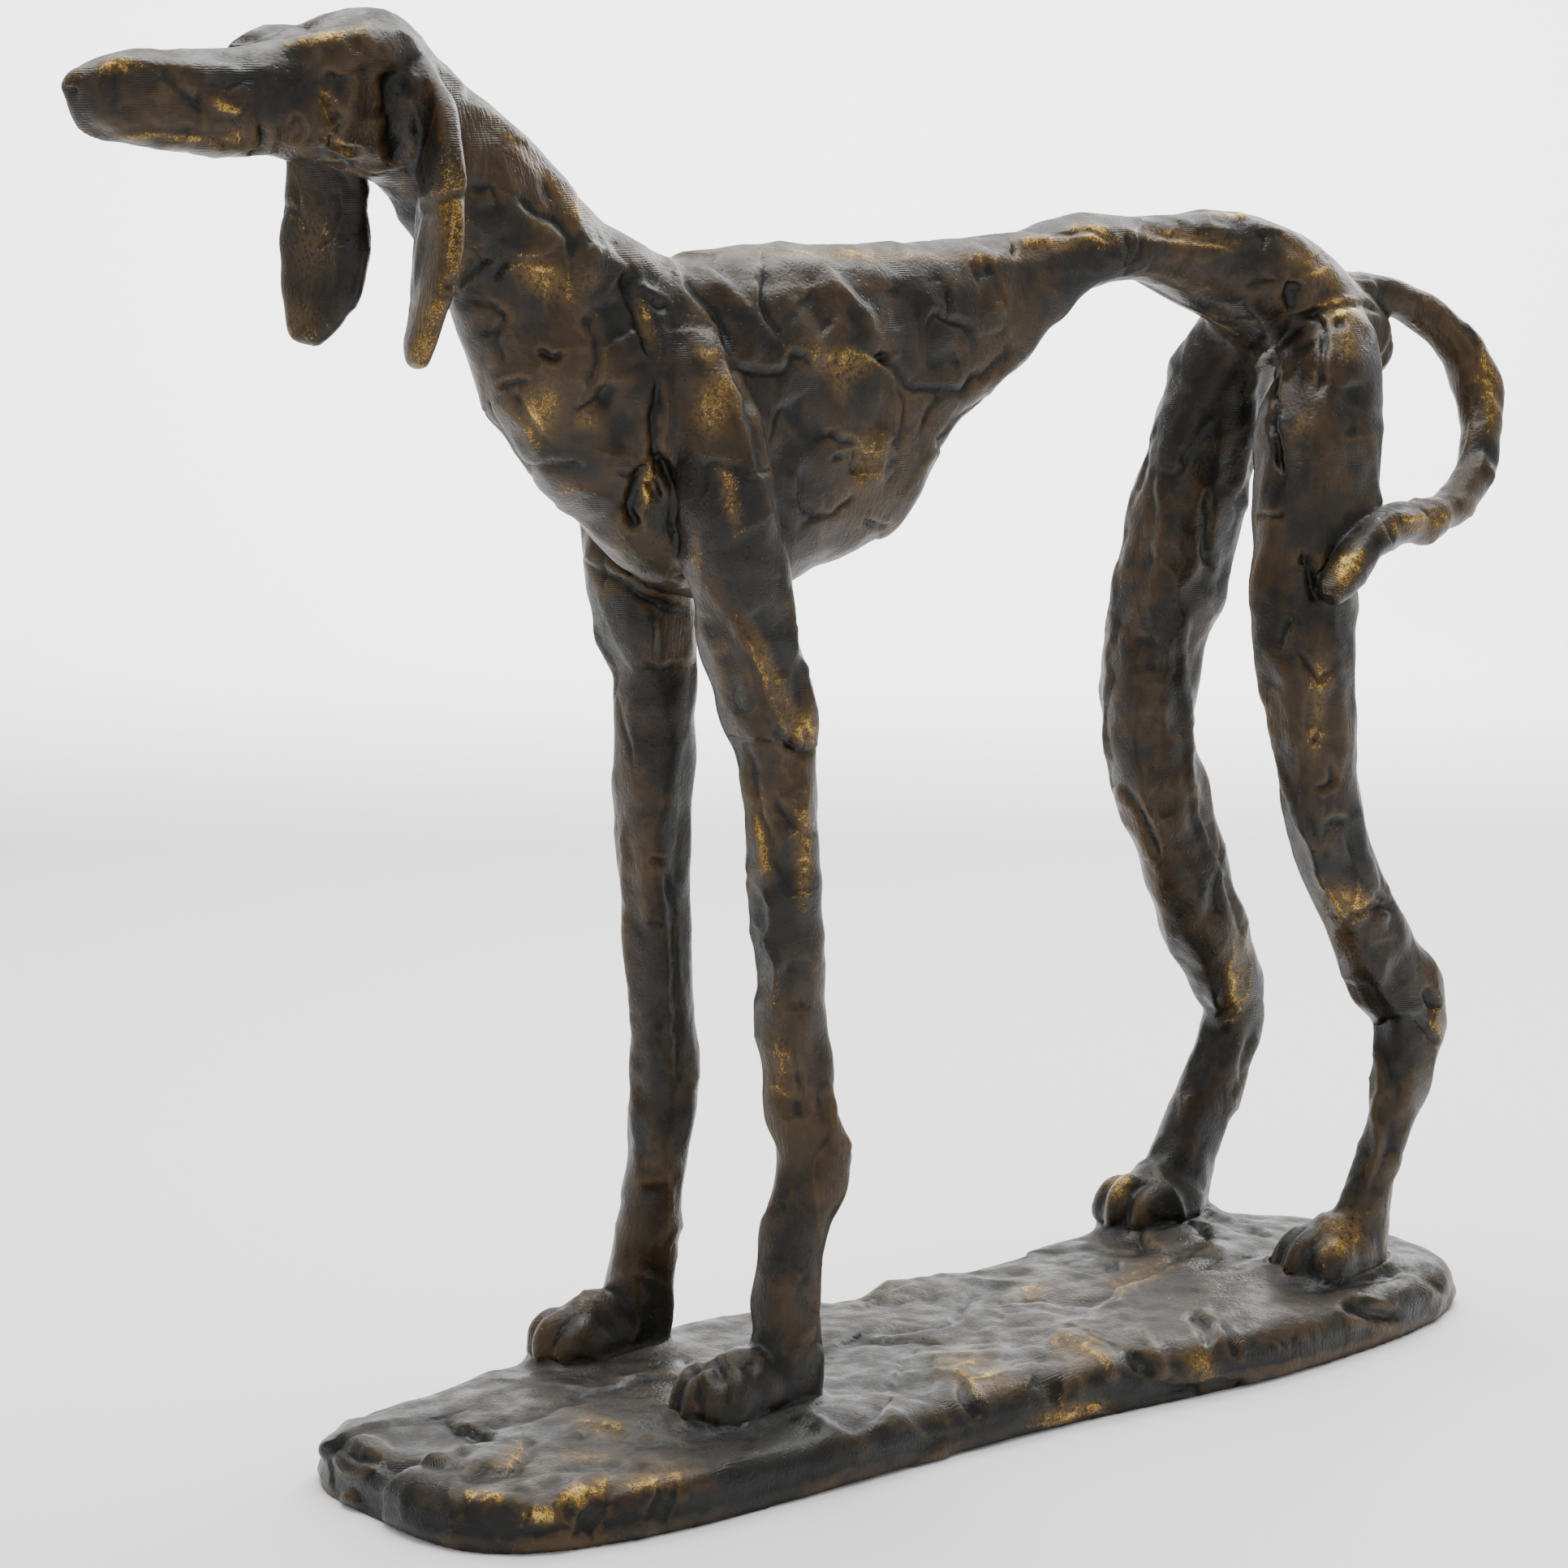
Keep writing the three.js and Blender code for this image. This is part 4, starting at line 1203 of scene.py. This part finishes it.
class Graph:
    """Short ways to add and join shader nodes."""

    def __init__(self, tree: bpy.types.NodeTree) -> None:
        """Keeps the tree that the nodes go into."""
        self.tree = tree

    def link(self, source: object, socket: bpy.types.NodeSocket) -> None:
        """Joins an output to a socket, or writes a plain value into it."""
        if isinstance(source, bpy.types.NodeSocket):
            self.tree.links.new(source, socket)
        elif isinstance(source, tuple) and socket.type == "RGBA":
            socket.default_value = (*source, 1.0)
        else:
            socket.default_value = source

    def node(self, kind: str, inputs: dict | None = None) -> bpy.types.Node:
        """Adds a node.

        Args:
            kind: Node type.
            inputs: Values or outputs for its inputs, by name or number.

        Returns:
            The node.
        """
        made = self.tree.nodes.new(kind)
        for key, value in (inputs or {}).items():
            self.link(value, made.inputs[key])
        return made

    def noise(self, at: bpy.types.NodeSocket, scale: float, detail: float) -> bpy.types.NodeSocket:
        """Adds fractal noise and returns its value."""
        return self.node("ShaderNodeTexNoise", {"Vector": at, "Scale": scale, "Detail": detail}).outputs[0]

    def attribute(self, name: str) -> bpy.types.NodeSocket:
        """Reads one of the piece's own values."""
        made = self.node("ShaderNodeAttribute")
        made.attribute_name = name
        return made.outputs["Fac"]

    def math(self, operation: str, a: object, b: object) -> bpy.types.NodeSocket:
        """Adds a sum, product or other operation of two values."""
        made = self.node("ShaderNodeMath", {0: a, 1: b})
        made.operation = operation
        return made.outputs[0]

    def scaled(self, value: bpy.types.NodeSocket, factor: float) -> bpy.types.NodeSocket:
        """Multiplies a value by a fixed factor."""
        return self.math("MULTIPLY", value, factor)

    def ramp(self, value: object, low: float, high: float) -> bpy.types.NodeSocket:
        """Adds a smooth rise from 0 at low to 1 at high."""
        made = self.node("ShaderNodeMapRange", {0: value, 1: low, 2: high})
        made.interpolation_type = "SMOOTHSTEP"
        return made.outputs[0]

    def mix(self, share: object, a: object, b: object) -> bpy.types.NodeSocket:
        """Adds a mix of two colours."""
        made = self.node("ShaderNodeMix")
        made.data_type = "RGBA"
        self.link(share, made.inputs[0])
        self.link(a, made.inputs[6])
        self.link(b, made.inputs[7])
        return made.outputs[2]


@dataclass(frozen=True)
class Softbox:
    """Square area light that faces a target; lengths are in metres."""

    name: str
    place: tuple
    target: tuple
    size: float
    watts: float

    def hang(self) -> None:
        """Adds the light to the scene."""
        data = bpy.data.lights.new(self.name, "AREA")
        data.size = self.size
        data.energy = self.watts
        light = bpy.data.objects.new(self.name, data)
        bpy.context.scene.collection.objects.link(light)
        light.location = self.place
        light.rotation_mode = "QUATERNION"
        light.rotation_quaternion = (Vector(self.target) - Vector(self.place)).to_track_quat("-Z", "Y")


MIDDLE = (0.0, 0.0, 0.2)
SOFTBOXES = (
    Softbox("overhead_softbox", (0.15, 0.2, 1.08), MIDDLE, 1.0, 25.5),
    Softbox("rim_softbox", (1.3, 0.5, 0.9), MIDDLE, 0.7, 13.0),
    Softbox("backdrop_wash", (0.9, 1.1, 1.3), (2.0, 2.5, 0.5), 1.4, 105.0),
    Softbox("front_fill", (-1.1, -0.7, 0.8), MIDDLE, 0.7, 2.0),
)


@dataclass(frozen=True)
class Studio:
    """Pale floor and soft light."""

    flat_m: float = 1.7
    rim_m: float = 3.6
    rise_m: float = 2.4
    floor_cells: int = 120
    floor_tone: float = 0.9
    floor_roughness: float = 0.7
    sky: float = 0.47

    def build(self) -> None:
        """Lays the floor, which curves up all round, and hangs the lights."""
        cells = self.floor_cells
        bpy.ops.mesh.primitive_grid_add(x_subdivisions=cells, y_subdivisions=cells, size=2 * self.rim_m)
        floor = bpy.context.active_object
        floor.name = "studio_floor"
        for vertex in floor.data.vertices:
            beyond = max(0.0, vertex.co.xy.length - self.flat_m) / (self.rim_m - self.flat_m)
            vertex.co.z = self.rise_m * beyond**2
        bpy.ops.object.shade_smooth()
        material = bpy.data.materials.new("floor_paper")
        material.use_nodes = True
        shader = material.node_tree.nodes["Principled BSDF"]
        shader.inputs["Base Color"].default_value = (self.floor_tone,) * 3 + (1.0,)
        shader.inputs["Roughness"].default_value = self.floor_roughness
        floor.data.materials.append(material)
        world = bpy.data.worlds.new("studio_sky")
        world.use_nodes = True
        backdrop = world.node_tree.nodes["Background"]
        backdrop.inputs["Color"].default_value = (1.0, 1.0, 1.0, 1.0)
        backdrop.inputs["Strength"].default_value = self.sky
        bpy.context.scene.world = world
        for softbox in SOFTBOXES:
            softbox.hang()


def main() -> None:
    """Builds the camera, the sculpture and the studio."""
    view = Viewpoint()
    view.build()
    strokes = HEAD_STROKES + CHEST_STROKES + FLANK_STROKES + HIND_STROKES + LEG_STROKES + BASE_STROKES
    casting = Casting(Relief(), Modelling(view, strokes, GILDINGS))
    piece = casting.build()
    piece.data.materials.append(Patina().material())
    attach(piece, BODY)
    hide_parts(NODE)
    LOG.info("casting rides on %s", BODY)
    Studio().build()
    LOG.info("studio ready")


if __name__ == "__main__":
    logging.basicConfig(level=logging.INFO, format="%(relativeCreated)d ms %(message)s")
    main()
